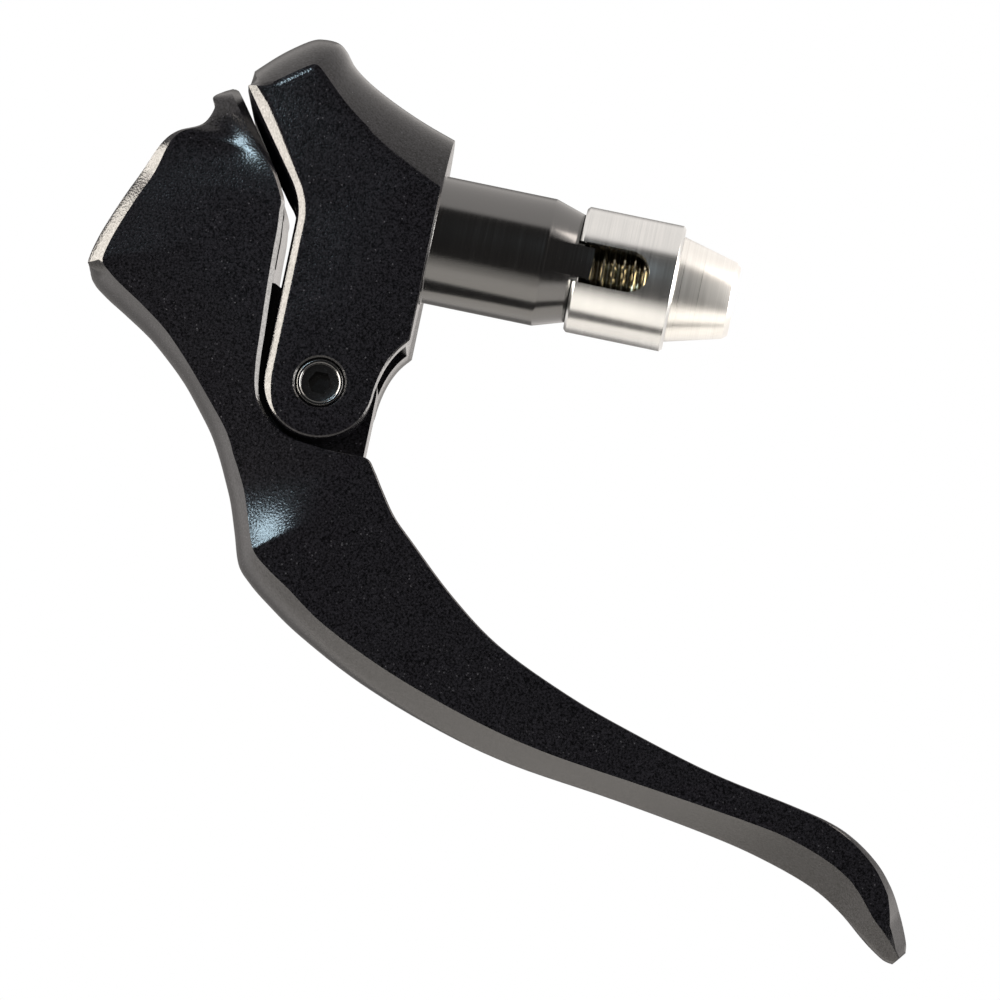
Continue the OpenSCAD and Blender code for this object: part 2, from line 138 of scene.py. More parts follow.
def bow(p0, p1, p2, steps):
    """Points of a curve from p0 to p2 that leans towards p1."""
    points = []
    for i in range(steps + 1):
        t = i / steps
        points.append(p0 * (1 - t) ** 2 + p1 * (2 * t * (1 - t)) + p2 * t * t)
    return points


def spline(a, b, c, d, t):
    """Value on the smooth curve from b to c."""
    return 0.5 * (2 * b + (c - a) * t + (2 * a - 5 * b + 4 * c - d) * t * t
                  + (3 * b - a - 3 * c + d) * t * t * t)


# A corner is eased over at most this share of its shorter side, unless it is nearly straight or tiny
EASE_SHARE = 0.4
EASE_STRAIGHT = math.radians(165)
EASE_LEAST = 0.01


def eased(profile, size, closed=True):
    """Profile of [x, radius] with each corner broken by a small round."""
    points = [Vector(p) for p in profile]
    count = len(points)
    result = []
    for i, corner in enumerate(points):
        before = points[i - 1] - corner
        after = points[(i + 1) % count] - corner
        cut = min(size, EASE_SHARE * before.length, EASE_SHARE * after.length)
        open_end = not closed and i in (0, count - 1)
        if open_end or before.angle(after, math.pi) > EASE_STRAIGHT or cut < EASE_LEAST:
            result.append(corner)
            continue
        start = corner + before.normalized() * cut
        end = corner + after.normalized() * cut
        result.extend(bow(start, corner, end, 3))
    return result


# Solids


# Steps round a turned piece, and the distance at which points are merged
TURN_STEPS = 128
WELD = 1e-4


def turned(profile):
    """Ring turned about the X axis from a closed profile of [x, radius]."""
    bm = bmesh.new()
    verts = [bm.verts.new((p[0], 0, p[1])) for p in profile]
    edges = [bm.edges.new((verts[i - 1], verts[i])) for i in range(len(verts))]
    bmesh.ops.spin(bm, geom=verts + edges, cent=(0, 0, 0), axis=(1, 0, 0), angle=2 * math.pi,
                   steps=TURN_STEPS, use_merge=True)
    bmesh.ops.remove_doubles(bm, verts=bm.verts, dist=WELD)
    bmesh.ops.recalc_face_normals(bm, faces=bm.faces)
    return bm


def rod(radius, x0, x1, sides=TURN_STEPS):
    """Bar along X, round unless it has few sides."""
    bm = bmesh.new()
    lie = Matrix.Translation(((x0 + x1) / 2, 0, 0)) @ Matrix.Rotation(math.pi / 2, 4, "Y")
    bmesh.ops.create_cone(bm, cap_ends=True, segments=sides, radius1=radius, radius2=radius,
                          depth=abs(x1 - x0), matrix=lie)
    return bm


def hexagon(flats, x0, x1):
    """Six-sided bar along X, from its width across flats."""
    return rod(flats / 2 / math.cos(math.pi / 6), x0, x1, 6)


def plate(outline, y0, y1):
    """Flat plate from a side outline of [x, z], between two planes across the width."""
    bm = bmesh.new()
    face = bm.faces.new([bm.verts.new((p[0], y0, p[1])) for p in outline])
    geom = bmesh.ops.extrude_face_region(bm, geom=[face])["geom"]
    verts = [g for g in geom if isinstance(g, bmesh.types.BMVert)]
    bmesh.ops.translate(bm, verts=verts, vec=(0, y1 - y0, 0))
    bmesh.ops.recalc_face_normals(bm, faces=bm.faces)
    return bm


def lofted(rings):
    """Closed skin over rings of equal length: each ring is pulled out of the one before it."""
    bm = bmesh.new()
    count = len(rings[0])
    verts = [bm.verts.new(p) for p in rings[0]]
    bm.faces.new(verts)
    edges = [bm.edges.get((verts[i - 1], verts[i])) for i in range(count)]
    for points in rings[1:]:
        geom = bmesh.ops.extrude_edge_only(bm, edges=edges)["geom"]
        place = {v: i for i, v in enumerate(verts)}
        pulled = [None] * count
        for vert in (g for g in geom if isinstance(g, bmesh.types.BMVert)):
            for edge in vert.link_edges:
                root = edge.other_vert(vert)
                if root in place:
                    pulled[place[root]] = vert
        for vert, point in zip(pulled, points):
            vert.co = point
        verts = pulled
        edges = [bm.edges.get((verts[i - 1], verts[i])) for i in range(count)]
    bm.faces.new(verts)
    bmesh.ops.recalc_face_normals(bm, faces=bm.faces)
    return bm


def across(bm, place=PIVOT):
    """Turn a piece drawn along X to lie across the width, at a place."""
    turn = Matrix.Translation((place.x, 0, place.z)) @ Matrix.Rotation(math.pi / 2, 4, "Z")
    bmesh.ops.transform(bm, matrix=turn, verts=bm.verts)
    return bm


def stand_in(bm):
    """Object that holds a bmesh while solids are combined."""
    mesh = bpy.data.meshes.new("stand_in")
    bm.to_mesh(mesh)
    bm.free()
    holder = bpy.data.objects.new("stand_in", mesh)
    bpy.context.scene.collection.objects.link(holder)
    return holder


def combined(base, tools, operation):
    """One solid from a base and other solids, joined to it, cut from it or crossed with it."""
    holders = [stand_in(base)]
    for tool in tools:
        holders.append(stand_in(tool))
        step = holders[0].modifiers.new("step", "BOOLEAN")
        step.operation = operation
        step.solver = "EXACT"
        step.object = holders[-1]
    graph = bpy.context.evaluated_depsgraph_get()
    mesh = bpy.data.meshes.new_from_object(holders[0].evaluated_get(graph))
    result = bmesh.new()
    result.from_mesh(mesh)
    bpy.data.meshes.remove(mesh)
    for holder in holders:
        bpy.data.meshes.remove(holder.data)
    if not result.faces:
        raise RuntimeError("combining the solids left nothing")
    bmesh.ops.remove_doubles(result, verts=result.verts, dist=WELD)
    return result


def finish_piece(bm, name, node, material, sharp=30):
    """Store a solid as the piece that stands for a CAD node; edges over a sharp angle stay crisp."""
    bmesh.ops.scale(bm, vec=(MM, MM, MM), verts=bm.verts)
    mesh = bpy.data.meshes.new(name)
    bm.to_mesh(mesh)
    bm.free()
    mesh.shade_smooth()
    mesh.set_sharp_from_angle(angle=math.radians(sharp))
    mesh.materials.append(material)
    piece = bpy.data.objects.new(name, mesh)
    bpy.context.scene.collection.objects.link(piece)
    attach(piece, frame["nodes"][node]["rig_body"])
    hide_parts(node)


# Materials


def new_material(name):
    """Empty material, with its nodes and its shader."""
    material = bpy.data.materials.new(name)
    material.use_nodes = True
    tree = material.node_tree
    return material, tree, tree.nodes["Principled BSDF"]


def feed(tree, node, **values):
    """Set a node's inputs, by name, or its own settings. An output given for an input is linked to it."""
    for key, value in values.items():
        name = key.replace("_", " ")
        if name not in node.inputs:
            setattr(node, key, value)
        elif isinstance(value, bpy.types.NodeSocket):
            tree.links.new(value, node.inputs[name])
        else:
            node.inputs[name].default_value = value
    return node


def add(tree, kind, **values):
    """Add a node, with its inputs and settings."""
    return feed(tree, tree.nodes.new(kind), **values)


def ramp(tree, source, stops):
    """Grey ramp fed by a value, from [position, grey] stops."""
    node = add(tree, "ShaderNodeValToRGB", Fac=source)
    for element, (position, grey) in zip(node.color_ramp.elements, stops):
        element.position = position
        element.color = (grey, grey, grey, 1)
    return node.outputs["Color"]


def remap(tree, source, low, high, span=(0.0, 1.0), kind="LINEAR"):
    """Value from a span spread over the range from low to high."""
    node = add(tree, "ShaderNodeMapRange", interpolation_type=kind, Value=source, From_Min=span[0],
               From_Max=span[1], To_Min=low, To_Max=high)
    return node.outputs["Result"]


def mixed(tree, kind, factor, a, b):
    """Mix of two colours (kind RGBA) or two values (kind FLOAT)."""
    return add(tree, "ShaderNodeMix", data_type=kind, Factor=factor, A=a, B=b).outputs["Result"]


def times(tree, a, b):
    """Product of two values."""
    node = add(tree, "ShaderNodeMath", operation="MULTIPLY")
    tree.links.new(a, node.inputs[0])
    tree.links.new(b, node.inputs[1])
    return node.outputs["Value"]


def object_coords(tree, scale=(1, 1, 1)):
    """Object coordinates, stretched."""
    coords = add(tree, "ShaderNodeTexCoord").outputs["Object"]
    return add(tree, "ShaderNodeMapping", Vector=coords, Scale=scale).outputs["Vector"]


def noise(tree, vector, scale, detail, rough):
    """Noise value on given coordinates."""
    node = add(tree, "ShaderNodeTexNoise", Vector=vector, Scale=scale, Detail=detail, Roughness=rough)
    return node.outputs["Fac"]


def bump(tree, height, strength, distance):
    """Normal of a fine relief."""
    node = add(tree, "ShaderNodeBump", Strength=strength, Distance=distance, Height=height)
    return node.outputs["Normal"]


def coat_material(look):
    """Satin black powder coat: fine orange peel, a few painted glints as light specks in its colour, and slow
    changes of gloss.
    """
    material, tree, shader = new_material("satin_black_coat")
    coords = object_coords(tree)
    peel = noise(tree, coords, 1 / look.grain, detail=1.5, rough=0.5)
    cloud = noise(tree, coords, 90.0, detail=3.0, rough=0.5)
    mottle = noise(tree, coords, 1 / look.grain, detail=2.0, rough=0.6)
    # Painted glints: small light specks put into the coat's colour, in place of the glints of the light on
    # its peel
    cells = add(tree, "ShaderNodeTexVoronoi", Vector=coords, Scale=1300.0)
    glint_spot = ramp(tree, cells.outputs["Distance"], [(0.08, 1.0), (0.2, 0.0)])
    pick = ramp(tree, cells.outputs["Color"], [(0.45, 0.0), (0.95, 1.0)])
    light = ramp(tree, mottle, [(0.36, 0.0), (0.66, 1.0)])
    base = mixed(tree, "RGBA", light, look.coat, look.coat_light)
    feed(tree, shader, IOR=1.42,
         Base_Color=mixed(tree, "RGBA", times(tree, glint_spot, pick), base, look.painted_glint),
         Roughness=remap(tree, cloud, look.coat_rough - 0.05, look.coat_rough + 0.05),
         Specular_IOR_Level=remap(tree, mottle, 0.2, 0.8),
         Normal=bump(tree, peel, strength=0.8, distance=0.00003))
    return material


def turned_material(name, colour, dark, rough, lines, metal=1.0):
    """Turned metal, with fine marks that run round the X axis."""
    material, tree, shader = new_material(name)
    marks = noise(tree, object_coords(tree, (lines, 25, 25)), 1.0, detail=3.0, rough=0.6)
    stain = noise(tree, object_coords(tree), 160.0, detail=3.0, rough=0.5)
    share = times(tree, marks, remap(tree, stain, 0.6, 1.4))
    feed(tree, shader, Metallic=metal,
         Base_Color=mixed(tree, "RGBA", share, dark, colour),
         Roughness=remap(tree, marks, rough - 0.07, rough + 0.07),
         Normal=bump(tree, marks, strength=0.18, distance=0.00002))
    return material


def plain_metal(name, colour, dark, rough, metal=1.0):
    """Metal with slow changes of tone and gloss, for screws, bushes and the anchor."""
    material, tree, shader = new_material(name)
    coords = object_coords(tree)
    stain = noise(tree, coords, 260.0, detail=4.0, rough=0.6)
    fine = noise(tree, coords, 2400.0, detail=2.0, rough=0.5)
    feed(tree, shader, Metallic=metal,
         Base_Color=mixed(tree, "RGBA", remap(tree, stain, 0.1, 1.0), dark, colour),
         Roughness=remap(tree, fine, rough - 0.08, rough + 0.08),
         Normal=bump(tree, fine, strength=0.1, distance=0.00002))
    return material


def set_ior(material, value):
    """Give a material's shader another index of refraction."""
    material.node_tree.nodes["Principled BSDF"].inputs["IOR"].default_value = value


def coat_of(look):
    """The coat's material, made once."""
    return bpy.data.materials.get("satin_black_coat") or coat_material(look)


# Shapes of the bracket, in millimetres


STOP_TOP = 14.6
STOP_BOTTOM = 16.6
CHEEK_R = 8.1
BEAK = Vector((node_box("bracket")[0].x, 0.69 * 25.2))
FRONT_X = PIVOT.x - CHEEK_R
# Where the front bends towards the beak, the length of the bend to each side, and the beak's lower end
BEND = Vector((FRONT_X, 0.0))
BEND_LEN = 3.6
BEAK_FOOT = Vector((BEAK.x + 0.05, BEAK.y - 2.6))
BEAK_DIR = (BEAK_FOOT - BEND).normalized()
# Stations over the top, from the beak to the stop face: the ridge in the middle, then the crease at the side
CROWN = [
    (-30.3, 18.4, -28.6, 15.0), (-27.9, 20.9, -26.6, 15.9), (-25.7, 22.8, -24.6, 17.4),
    (-23.1, 24.6, -22.4, 19.0), (-21.3, 25.1, -21.3, 19.5), (-19.2, 25.0, -20.3, 18.9),
    (-17.8, 24.0, -18.6, 17.3), (-16.1, 22.0, -15.7, 14.7), (-13.0, 19.9, -12.4, 12.3),
    (-8.7, 17.8, -8.6, 9.8), (-4.5, 16.1, -4.4, 7.7), (0, STOP_TOP, 0, 6.0)]
CROWN_STEPS = 5
# Power by which the slices lie closer towards the sides
SLICE_POWER = 1.6
# How the crown's arch falls off from the ridge to the crease
ARCH_POWER = 2.2
# Share of a bevel that is flat, before it rounds over to the side face, and the shares at which it is drawn
FLAT_SHARE = 0.65
BEVEL_SHARES = (0.06, 0.35, FLAT_SHARE, 0.78, 0.9, 1.0)
# How much more the front bulges just above the bend than under the beak
BEND_SWELL = 1.5
# Share of the way to the crown's first station that the last bevel takes
CORNER_SHARE = 0.93
# Gap between cheek and lever, and the lever's web about the pivot: its top, and the end of its sloping edge
LEVER_GAP = 1.4
WEB_TOP = 1.655 * CHEEK_R
WEB_STOP = (0.31 * CHEEK_R, 0.9 * CHEEK_R)


def inset(points, depth):
    """Points moved into the outline, square to the line through their neighbours."""
    moved = []
    last = len(points) - 1
    for i, point in enumerate(points):
        way = (points[min(i + 1, last)] - points[max(i - 1, 0)]).normalized()
        moved.append(point + depth * Vector((way.y, -way.x)))
    return moved


def cheek_edge():
    """Outline from the stop face round the cheek's end and up the front to the beak."""
    side = Vector((PIVOT.x + CHEEK_R, PIVOT.z))
    lean = Vector((side.x + 0.5, -STOP_BOTTOM - 3.0))
    bend_start = BEND - Vector((0, BEND_LEN))
    bend_end = BEND + BEND_LEN * BEAK_DIR
    points = [Vector((0, -STOP_BOTTOM))]
    points += bow(Vector((-0.2, -STOP_BOTTOM - 0.4)), lean, side, 16)
    points += arc(PIVOT_XZ, CHEEK_R, -6, -174, 40)
    points += bow(Vector((FRONT_X, PIVOT.z)), Vector((FRONT_X, PIVOT.z + 6)), bend_start, 6)
    points += bow(BEND - Vector((0, BEND_LEN - 0.5)), BEND, bend_end, 12)
    points += [mix(bend_end, BEAK_FOOT, t) for t in (0.25, 0.5, 0.75, 1.0)]
    return points


def through(points):
    """Points of a smooth curve through the crown's stations."""
    last = len(points) - 1
    curve = []
    for i in range(last):
        a, b, c, d = points[max(i - 1, 0)], points[i], points[i + 1], points[min(i + 2, last)]
        curve += [spline(a, b, c, d, k / CROWN_STEPS) for k in range(CROWN_STEPS)]
    return curve + [points[last]]


def rim_bevels(outline, sizes):
    """Width of the bevel at each point of the cheek's outline: wide in front, thin round the end."""
    widths = []
    for point in outline:
        way = point - PIVOT_XZ
        turn = math.degrees(math.atan2(way.y, way.x)) % 360
        past_end = (turn - 300) % 360
        if past_end < 120:
            width = mix(sizes.bevel_end, sizes.bevel_back, ramped(past_end, 0, 60))
        else:
            front = mix(sizes.bevel_front, sizes.bevel_beak, ramped(point.y, BEND.y + 1.6, 8))
            width = mix(front, sizes.bevel_end, ramped(turn, 190, 40))
        widths.append(width / MM)
    widths[0] = sizes.stop_bevel / MM
    return widths


def bevel_rise(q):
    """Height of the bevel a share q of the way in, rounded where it meets the side face."""
    rounded = 1 - FLAT_SHARE
    return (q - max(0, q - FLAT_SHARE) ** 2 / (2 * rounded)) / (1 - rounded / 2)


class CLUTCH_OT_bracket(bpy.types.Operator):
    """Build the coated bracket with its fork, bores and crowned top"""

    bl_idname = "clutch.bracket"
    bl_label = "Bracket"

    def execute(self, context):
        sizes = context.scene.clutch_lever.bracket
        shell = lofted(self.rings(sizes))
        solid = combined(shell, self.cuts(sizes), "DIFFERENCE")
        coat = coat_of(context.scene.clutch_lever.finish)
        finish_piece(solid, "bracket_fork", "bracket", coat, sharp=24)
        return {"FINISHED"}

    def bulged(self, outline, sizes):
        """Outline in the middle of the width: the front bulges towards the lever, the back is hollow."""
        moved = []
        for point, outside in zip(outline, inset(outline, -1)):
            full = mix(BEND_SWELL, 1.0, ramped(point.y, BEND.y + 2, 6)) * sizes.beak_lead
            lead = mix(sizes.front_lead, full, ramped(point.y, BEND.y - 1.5, 4)) / MM
            lead *= 1 - ramped(point.y, BEAK_FOOT.y - 3.5, 2.2)
            if point.x > PIVOT.x:
                lead = -sizes.back_hollow / MM
            moved.append(mix(point, outside, lead * ramped(point.y, PIVOT.z - 8, 8)))
        return moved

    def rings(self, sizes):
        """Slices of the bracket across its width, with a bevel round each side face."""
        draft = sizes.edge_draft / MM
        plain_edge = cheek_edge()
        outer_edge = self.bulged(plain_edge, sizes)
        side_edge = inset(plain_edge, draft)
        side_edge[0] = Vector((0, draft - STOP_BOTTOM))
        bevels = rim_bevels(outer_edge, sizes)
        rim_edge = inset(side_edge, 1)
        to_crown = Vector(CROWN[0][2:]) - side_edge[-1]
        rim_edge[-1] = side_edge[-1] + CORNER_SHARE * to_crown / bevels[-1]
        outer_crown = through([Vector(row[:2]) for row in CROWN])
        side_crown = through([Vector(row[2:]) for row in CROWN])
        slope = math.tan(sizes.bevel_tilt)
        steps = []
        for point in outer_edge:
            steps.append(mix(sizes.edge_step, sizes.beak_step, ramped(point.y, BEND.y - 1.5, 2.5)) / MM)
        deepest = slope * max(bevels)
        rows = [(0.0, 1 - (1 - i / sizes.slices) ** SLICE_POWER) for i in range(sizes.slices + 1)]
        rows += [(q, 1.0) for q in BEVEL_SHARES]
        half = []
        for q, s in rows:
            ring = []
            for i, (side, outer) in enumerate(zip(side_edge, outer_edge)):
                depth = slope * bevels[i]
                y = (HALF_WIDTH - depth) * s + depth * bevel_rise(q)
                lead = min(1, (HALF_WIDTH - depth - y) / steps[i]) if q == 0 else 0
                point = mix(side, outer, lead)
                into = (rim_edge[i] - side) * bevels[i] * q
                ring.append((point.x + into.x, y, point.y + into.y))
            y = (HALF_WIDTH - deepest) * s + deepest * bevel_rise(q)
            lift = 1 - (y / HALF_WIDTH) ** ARCH_POWER
            last = len(side_crown) - 1
            for i, (side, outer) in enumerate(zip(side_crown, outer_crown)):
                ends = ramped(min(i, last - i), 0, 8)
                fall = sizes.crease_round / MM * ends * max(0, q - FLAT_SHARE) / (1 - FLAT_SHARE)
                point = mix(side, outer, lift) + fall * (side - outer).normalized()
                back = sizes.stop_bevel / MM * q * (i == last)
                ring.append((point.x - back, y, point.y))
            half.append(ring)
        far = [[(x, -y, z) for x, y, z in ring] for ring in half[:0:-1]]
        return far + half

    def cuts(self, sizes):
        """Fork slot, recess and bores that are cut from the bracket."""
        washer_high = node_box("bolt_washer")[1]
        barrel_low, barrel_high = node_box("mounting_barrel")
        fork_half = node_box("pivot_bush_far")[1].y + 0.04
        reach = 40
        roof_gap = 0.5
        stop_gap = 0.9
        top = Vector((FRONT_X - LEVER_GAP, PIVOT.z + WEB_TOP + roof_gap))
        stop = Vector((PIVOT.x + WEB_STOP[0], PIVOT.z + WEB_STOP[1] + stop_gap))
        bottom = PIVOT.z - 2 * CHEEK_R
        roof = [(-reach, top.y), top, stop, (reach, stop.y), (reach, bottom), (-reach, bottom)]
        recess_r = washer_high.z + 0.3
        spigot_r = barrel_high.z + 0.02
        flare = sizes.hole_flare / MM
        face = HALF_WIDTH
        play = 0.1
        head_r = node_radius("pivot_screw") + play
        head_x = 3.6 - face
        nut_r = node_radius("pivot_nut") + play
        nut_x = face - 4.2
        screw_hole = turned([(-face - 1, CENTER_R), (-face - 1, head_r + flare + 1), (flare - face, head_r),
                             (head_x, head_r), (head_x, SHANK_HOLE_R), (0, SHANK_HOLE_R), (0, CENTER_R)])
        nut_hole = turned([(0.5, CENTER_R), (0.5, SHANK_HOLE_R), (nut_x, SHANK_HOLE_R), (nut_x, nut_r),
                           (face - flare, nut_r), (face + 1, nut_r + flare + 1), (face + 1, CENTER_R)])
        return [
            plate(roof, -fork_half, fork_half),
            rod(recess_r, -reach, washer_high.x),
            rod(BOLT_HOLE_R, washer_high.x - 1, 1),
            rod(spigot_r, barrel_low.x, 1),
            across(screw_hole),
            across(nut_hole),
        ]


class CLUTCH_OT_barrel(bpy.types.Operator):
    """Build the anodised barrel with its cone and two keys"""

    bl_idname = "clutch.barrel"
    bl_label = "Mounting barrel"

    def execute(self, context):
        sizes = context.scene.clutch_lever.barrel
        look = context.scene.clutch_lever.finish
        low, high = node_box("mounting_barrel")
        spigot_step = 0.3
        cone_len = 5.4
        barrel_r = high.z - spigot_step
        cone_x = sizes.straight / MM
        cone_end = cone_x + cone_len
        body = turned(eased([
            (low.x, BOLT_HOLE_R), (low.x, high.z), (0, high.z), (0, barrel_r), (cone_x, barrel_r),
            (cone_end, barrel_r - cone_len * CONE_SLOPE), (cone_end, BOLT_HOLE_R)], size=0.15))
        key_r = barrel_r - 0.2
        key_x = cone_x - 2
        key_half = sizes.key_width / MM / 2
        key_ring = turned([(key_x, BOLT_HOLE_R), (key_x, key_r), (high.x, key_r), (high.x, BOLT_HOLE_R)])
        key_box = plate([(key_x - 1, -key_half), (high.x + 1, -key_half), (high.x + 1, key_half),
                         (key_x - 1, key_half)], -2 * barrel_r, 2 * barrel_r)
        keys = combined(key_ring, [key_box], "INTERSECT")
        solid = combined(body, [keys], "UNION")
        metal = turned_material("black_anodised_barrel", look.anodised, look.anodised_dark, rough=0.17,
                                lines=3500.0, metal=0.0)
        set_ior(metal, 2.15)
        finish_piece(solid, "plug_barrel", "mounting_barrel", metal)
        return {"FINISHED"}


class CLUTCH_OT_expander(bpy.types.Operator):
    """Build the slotted sleeve and the tapered nose of the expander"""

    bl_idname = "clutch.expander"
    bl_label = "Expander"

    def execute(self, context):
        sizes = context.scene.clutch_lever.expander
        look = context.scene.clutch_lever.finish
        self.sleeve(sizes, look)
        self.nose(look)
        return {"FINISHED"}

    def sleeve(self, sizes, look):
        """Sleeve with a conical mouth, a seat for the nose and two slots with round ends."""
        low, high = node_box("expander_sleeve")
        radius = high.z
        barrel_r = radius + 0.1
        setback = 4.6
        mouth = barrel_r - setback * CONE_SLOPE + 0.3
        bore = 5.6
        seat_r = 7.02
        seat_x = high.x - 3
        chamfer = 0.4
        ring = eased([
            (low.x, mouth), (low.x, radius - chamfer), (low.x + chamfer, radius), (high.x - chamfer, radius),
            (high.x, radius - chamfer), (high.x, seat_r), (seat_x, seat_r), (seat_x, bore),
            (low.x + (mouth - bore) / CONE_SLOPE, bore)], size=0.08)
        half = sizes.slot_width / MM / 2
        middle = low.x + sizes.slot_length / MM - half
        slot = [(low.x - 2, half), (low.x - 2, -half)]
        slot += arc(Vector((middle, 0)), half, -90, 90, 48)
        sleeve = combined(turned(ring), [plate(slot, -2 * radius, 2 * radius)], "DIFFERENCE")
        bright = turned_material("bright_turned_aluminium", look.aluminium, look.aluminium_dark, rough=0.22,
                                 lines=5000.0)
        finish_piece(sleeve, "slotted_sleeve", "expander_sleeve", bright)

    def nose(self, look):
        """Tapered nose with a thread's bore and a lip at its end."""
        low, high = node_box("nose_nut")
        step_x = node_box("expander_sleeve")[1].x
        tip_r = 5.6
        plug_r = 7.0
        thread_r = 5.08
        lip_r = 2.8
        lip_x = high.x - 0.9
        nose = turned(eased([
            (low.x, thread_r), (low.x, plug_r), (step_x, plug_r), (step_x, high.z), (high.x - 0.7, tip_r),
            (high.x, tip_r - 0.6), (high.x, lip_r), (lip_x, lip_r), (lip_x, thread_r)], size=0.1))
        pale = turned_material("pale_turned_aluminium", look.pale, look.pale_dark, rough=0.3, lines=4000.0)
        finish_piece(nose, "tapered_nose", "nose_nut", pale)


class CLUTCH_OT_bolt(bpy.types.Operator):
    """Build the expander's screw with its wound thread, and the washer under its head"""

    bl_idname = "clutch.bolt"
    bl_label = "Expander bolt"

    def execute(self, context):
        pitch = context.scene.clutch_lever.expander.thread_pitch / MM
        look = context.scene.clutch_lever.finish
        low, high = node_box("expander_bolt")
        washer_low, washer_high = node_box("bolt_washer")
        crest = 5.0
        root = crest - 0.6 * pitch
        start = high.x - 24
        chamfer = 0.8
        housing_r = 2.6
        housing_x = high.x - 12
        core = turned(eased([
            (low.x, CABLE_R), (low.x, high.z - chamfer), (low.x + chamfer, high.z), (washer_low.x, high.z),
            (washer_low.x, crest), (start, crest), (start + 0.6, root), (high.x, root), (high.x, housing_r),
            (housing_x, housing_r), (housing_x, CABLE_R)], size=0.1))
        key_flats = 8
        socket = hexagon(key_flats, low.x - 2, low.x + 4)
        core = combined(core, [socket], "DIFFERENCE")
        ridge = self.ridge(start + 0.2, high.x - 0.7 - pitch, pitch, root, crest)
        solid = combined(core, [ridge], "UNION")
        plated = plain_metal("yellow_plated_steel", look.plated, look.plated_dark, rough=0.18)
        finish_piece(solid, "expander_screw", "expander_bolt", plated)
        washer = turned(eased([
            (washer_low.x, BOLT_HOLE_R), (washer_low.x, washer_high.z), (washer_high.x, washer_high.z),
            (washer_high.x, BOLT_HOLE_R)], size=0.15))
        finish_piece(washer, "head_washer", "bolt_washer", plated)
        return {"FINISHED"}

    def ridge(self, start, end, pitch, root, crest):
        """Closed ridge of the thread, wound round the core and sunk into it."""
        turns = int((end - start) / pitch)
        per_turn = 64
        sunk = root - 0.25
        # The turns stop just short of each other, so that they never meet
        advance = 0.999 * pitch / per_turn
        bm = bmesh.new()
        section = [(0.0, sunk), (0.06, root), (0.42, crest), (0.58, crest), (0.94, root), (1.0, sunk)]
        face = bm.faces.new([bm.verts.new((start + x * pitch, 0, r)) for x, r in section])
        bmesh.ops.spin(bm, geom=[face], cent=(0, 0, 0), axis=(1, 0, 0), dvec=(advance, 0, 0),
                       angle=2 * math.pi * turns, steps=per_turn * turns, use_merge=False)
        bmesh.ops.recalc_face_normals(bm, faces=bm.faces)
        return bm


class CLUTCH_OT_pivot(bpy.types.Operator):
    """Build the pivot's screw, its sleeve nut and the two flanged bushes"""

    bl_idname = "clutch.pivot"
    bl_label = "Pivot"

    def execute(self, context):
        sizes = context.scene.clutch_lever.pivot
        look = context.scene.clutch_lever.finish
        black = plain_metal("black_oxide_steel", look.black_steel, look.black_steel_dark, rough=0.15,
                            metal=0.0)
        set_ior(black, 1.8)
        self.screw(sizes, black)
        self.nut(black)
        bronze = plain_metal("oiled_bronze", look.bronze, look.bronze_dark, rough=0.38)
        self.bush("pivot_bush_near", "near_bush", -1, bronze)
        self.bush("pivot_bush_far", "far_bush", 1, bronze)
        return {"FINISHED"}

    def screw(self, sizes, black):
        """Screw with a dish and a hex socket in its head."""
        low, high = node_box("pivot_screw")
        head_r = node_radius("pivot_screw")
        chamfer = sizes.head_chamfer / MM
        face = low.y
        shank_x = face + 3.4
        shank_r = 2.5
        dish = face + 0.6
        ring = eased([
            (dish, CENTER_R), (dish, 2.7), (face + 0.13, 2.75), (face, 2.95), (face, head_r - chamfer),
            (face + 0.85 * chamfer, head_r), (shank_x, head_r), (shank_x, shank_r), (high.y - 0.5, shank_r),
            (high.y, shank_r - 0.5), (high.y, CENTER_R)], size=0.06, closed=False)
        socket = hexagon(sizes.socket / MM, face - 0.8, face + 2.4)
        screw = combined(turned(ring), [socket], "DIFFERENCE")
        finish_piece(across(screw), "pivot_pin", "pivot_screw", black)

    def nut(self, black):
        """Sleeve nut with a driver slot, in the far cheek."""
        low, high = node_box("pivot_nut")
        radius = node_radius("pivot_nut")
        ring = turned(eased([
            (low.y, SHANK_HOLE_R), (low.y, radius), (high.y - 0.25, radius), (high.y, radius - 0.5),
            (high.y, SHANK_HOLE_R)], size=0.08))
        slot_half = 0.6
        slot_x = high.y - 0.8
        slot = plate([(slot_x, -slot_half), (high.y + 1, -slot_half), (high.y + 1, slot_half),
                      (slot_x, slot_half)], -9, 9)
        nut = combined(ring, [slot], "DIFFERENCE")
        finish_piece(across(nut), "pivot_sleeve_nut", "pivot_nut", black)

    def bush(self, node, name, side, bronze):
        """Flanged bush, its flange against the cheek on one side."""
        low, high = node_box(node)
        flange_r = node_radius(node)
        bore = 2.54
        inner = 0.2
        outer = max(abs(low.y), abs(high.y))
        shoulder = outer - 0.8
        profile = [(inner, bore), (inner, BUSH_R), (shoulder, BUSH_R), (shoulder, flange_r),
                   (outer, flange_r), (outer, bore)]
        ring = turned(eased([(side * x, r) for x, r in profile], size=0.12))
        finish_piece(across(ring), name, node, bronze)


# Stations of the lever, about the pivot, in millimetres


GAP_X = FRONT_X - LEVER_GAP - PIVOT.x
# Back of the head, where it leans away along the beak: lower and upper end
LEAN_BEND = Vector((GAP_X, 24.2))
LEAN_TOP = Vector((GAP_X - 11.1, 39.9))
# Round of the neck about the cheek's end, and the shelf below it
ARC_R = CHEEK_R + LEVER_GAP
SHELF_Z = 0.2 - ARC_R
NECK_TURN = 19.5
# Tilts of the bevel in front, in degrees, slopes of the rim's facet, and widths of the blade
BAND_TILT = 31
RIM_TILT = 60
KNOB_SLOPE = 0.66
HEAD_SLOPE = 0.7
BLADE_SLOPE = 1.6
BLADE_ROOT_HALF = 10.3
TIP_SWELL = 1.15
